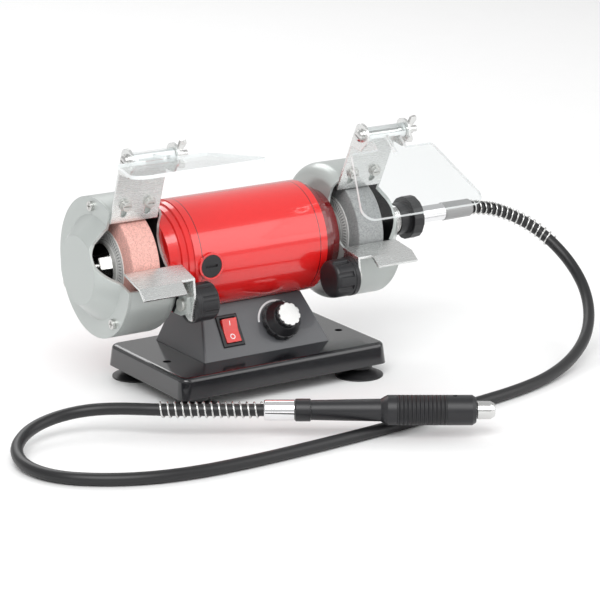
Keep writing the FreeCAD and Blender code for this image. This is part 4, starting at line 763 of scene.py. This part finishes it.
@dataclass
class Shields:
    """Spark brackets and clear eye shields."""

    rises: dict[Side, float] = field(default_factory=lambda: {Side.LEFT: 5.0, Side.RIGHT: -40.0})
    edge_limit: float = 0.7
    haze_scale: float = 45.0
    haze_roughness: float = 0.12
    glare_power: float = 4.0
    glare_strength: float = 0.45
    least_glare: float = 0.035

    def clear(self, side: Side) -> bpy.types.Material:
        """Clear sheet that is bright where its cut edges show.

        Args:
            side: The shield's side.

        Returns:
            The material.
        """
        rise = math.radians(self.rises[side])
        normal = Vector((0.0, math.sin(rise), math.cos(rise)))
        material = bpy.data.materials.new("clear_sheet_" + side.word)
        material.use_nodes = True
        material.node_tree.nodes.clear()
        g = Graph(material.node_tree)
        facing = g.along(g.add("TexCoord").outputs["Normal"], normal)
        edge = g.maths("LESS_THAN", g.maths("ABSOLUTE", facing), self.edge_limit)
        haze = g.add(
            "TexNoise", {"Vector": g.position(), "Scale": self.haze_scale, "Detail": 4.0}
        ).outputs[0]
        grazing = g.add("LayerWeight", {"Blend": 0.5}).outputs["Facing"]
        steep = g.maths("POWER", grazing, self.glare_power)
        glare = g.maths("ADD", g.maths("MULTIPLY", steep, self.glare_strength), self.least_glare)
        veil = g.add("BsdfTransparent", {"Color": (0.955, 0.965, 0.965, 1.0)})
        rough = g.maths("MULTIPLY", haze, self.haze_roughness)
        shine = g.add("BsdfAnisotropic", {"Color": (1, 1, 1, 1), "Roughness": rough})
        sheet = g.add("MixShader", {0: glare, 1: veil.outputs[0], 2: shine.outputs[0]})
        rim = g.add(
            "BsdfPrincipled",
            {"Base Color": (0.88, 0.92, 0.92, 1.0), "Roughness": 0.25, "Alpha": 0.75},
        )
        whole = g.add("MixShader", {0: edge, 1: sheet.outputs[0], 2: rim.outputs[0]})
        out = g.add("OutputMaterial")
        g.tree.links.new(whole.outputs[0], out.inputs["Surface"])
        return material

    def build(self) -> None:
        """Dress the brackets, bolts, wing nuts and shields."""
        for side in Side:
            dress("visor_" + side.word, self.clear(side))
            dress("spark_bracket_" + side.word, ZINC.build())
            dress("hinge_bolt_" + side.word, STEEL.build())
            dress("wing_nut_" + side.word, STEEL.build())
            dress("tool_rest_" + side.word, ZINC.build())
            dress("clamp_knob_" + side.word, BLACK_PLASTIC.build())
        dress("bracket_screws", FASTENER.build())
        dress("rest_studs", FASTENER.build())


@dataclass
class Body:
    """Base, pedestal, motor and what is inside them."""

    place: MachineFrame
    front_y: float = -0.0264
    base_top: float = 0.0234
    slope: float = 56.49
    switch: tuple[float, float] = (-0.0237, 0.0191)
    dial: tuple[float, float] = (0.0154, 0.0193)
    seams: tuple[float, float] = (-0.0500, 0.0424)
    seam_half: float = 0.00025
    arc_band: tuple[float, float] = (0.0146, 0.0160)
    arc_turn: tuple[float, float] = (0.5, 3.0)
    bar_half: float = 0.0003
    bar_span: tuple[float, float] = (0.0030, 0.0060)
    ring_below: float = 0.0046
    ring_band: tuple[float, float] = (0.0013, 0.0019)
    pointer_angle: float = 225.0
    pointer_span: tuple[float, float] = (0.0015, 0.0078)
    pointer_half: float = 0.0006

    def panel_axes(self) -> tuple[Vector, Vector]:
        """Return the panel's lower middle point and the direction up it."""
        angle = math.radians(self.slope)
        corner = self.place.at((0.0, self.front_y, self.base_top))
        return corner, Vector((0.0, math.cos(angle), math.sin(angle)))

    def flat(self, g: Graph, centre: tuple[float, float]) -> tuple:
        """Return how far a surface point lies across and up the panel from a centre."""
        corner, up = self.panel_axes()
        away = g.offset(corner)
        across = g.maths("SUBTRACT", g.along(away, Vector((1, 0, 0))), centre[0])
        return across, g.maths("SUBTRACT", g.along(away, up), centre[1])

    def scale_arc(self, g: Graph) -> bpy.types.NodeSocket:
        """Mark an arc round the dial, on its upper left."""
        across, up = self.flat(g, self.dial)
        turn = g.maths("ARCTAN2", up, across)
        ring = g.between(g.reach(across, up), *self.arc_band)
        return g.maths("MULTIPLY", ring, g.between(turn, *self.arc_turn))

    def switch_marks(self, g: Graph) -> bpy.types.NodeSocket:
        """Mark a bar at the top of the rocker and a ring at its foot."""
        across, up = self.flat(g, self.switch)
        beside = g.between(across, -self.bar_half, self.bar_half)
        bar = g.maths("MULTIPLY", beside, g.between(up, *self.bar_span))
        low = g.maths("ADD", up, self.ring_below)
        return g.maths("MAXIMUM", bar, g.between(g.reach(across, low), *self.ring_band))

    def pointer(self, g: Graph) -> bpy.types.NodeSocket:
        """Mark a stroke from the dial's middle to its lower left."""
        across, up = self.flat(g, self.dial)
        lean = math.radians(self.pointer_angle)
        c, s = math.cos(lean), math.sin(lean)
        reach = g.maths("ADD", g.maths("MULTIPLY", across, c), g.maths("MULTIPLY", up, s))
        off = g.maths("SUBTRACT", g.maths("MULTIPLY", across, s), g.maths("MULTIPLY", up, c))
        beside = g.between(off, -self.pointer_half, self.pointer_half)
        return g.maths("MULTIPLY", g.between(reach, *self.pointer_span), beside)

    def seam_lines(self, g: Graph) -> bpy.types.NodeSocket:
        """Mark a thin dark line near each end of the motor."""
        x = g.along(g.offset(self.place.at((0.0, 0.0, 0.0))), Vector((1, 0, 0)))
        half = self.seam_half
        lines = [g.between(x, at - half, at + half) for at in self.seams]
        return g.maths("ADD", lines[0], lines[1])

    def build(self) -> None:
        """Dress every node of the body."""
        dress("base_tray", BLACK_GLOSS.build())
        dress("bottom_plate", BLACK_GLOSS.build())
        for end in ("front", "rear"):
            for side in Side:
                dress(f"foot_{end}_{side.word}", RUBBER.build())
        dress("pedestal_housing", PANEL.masked(self.scale_arc, SCALE_WHITE))
        dress("switch_frame", BLACK_PLASTIC.build())
        dress("switch_rocker", SWITCH_RED.masked(self.switch_marks, ROCKER_WHITE))
        dress("speed_dial", BLACK_PLASTIC.build())
        dress("dial_cap", CAP_SILVER.masked(self.pointer, POINTER_WHITE))
        dress("motor_sleeve", RED_PAINT.masked(self.seam_lines, SEAM_RED))
        dress("end_bell_left", RED_PAINT.build())
        # The right end bell's darker red is painted shade.
        dress("end_bell_right", SHADED_RED_PAINT.build())
        dress("brush_caps", BLACK_PLASTIC.build())
        dress("cable_gland", BLACK_PLASTIC.build())
        dress("base_screws", FASTENER.build())
        hidden = {
            "bearings": STEEL, "field_core": IRON, "armature_core": IRON, "field_coils": COPPER,
            "commutator": COPPER, "brush_holders": BRASS, "carbon_brushes": CARBON,
            "cooling_fan": BLACK_PLASTIC, "circuit_board": BOARD, "speed_potentiometer": FASTENER,
        }
        for name, finish in hidden.items():
            dress(name, finish.build())


def main() -> None:
    """Build the whole scene."""
    logging.basicConfig(level=logging.INFO)
    place = MachineFrame.from_base()
    Studio(place).build()
    FlexShaft(place).build()
    Guards(place).build()
    Shields().build()
    Body(place).build()


if __name__ == "__main__":
    main()
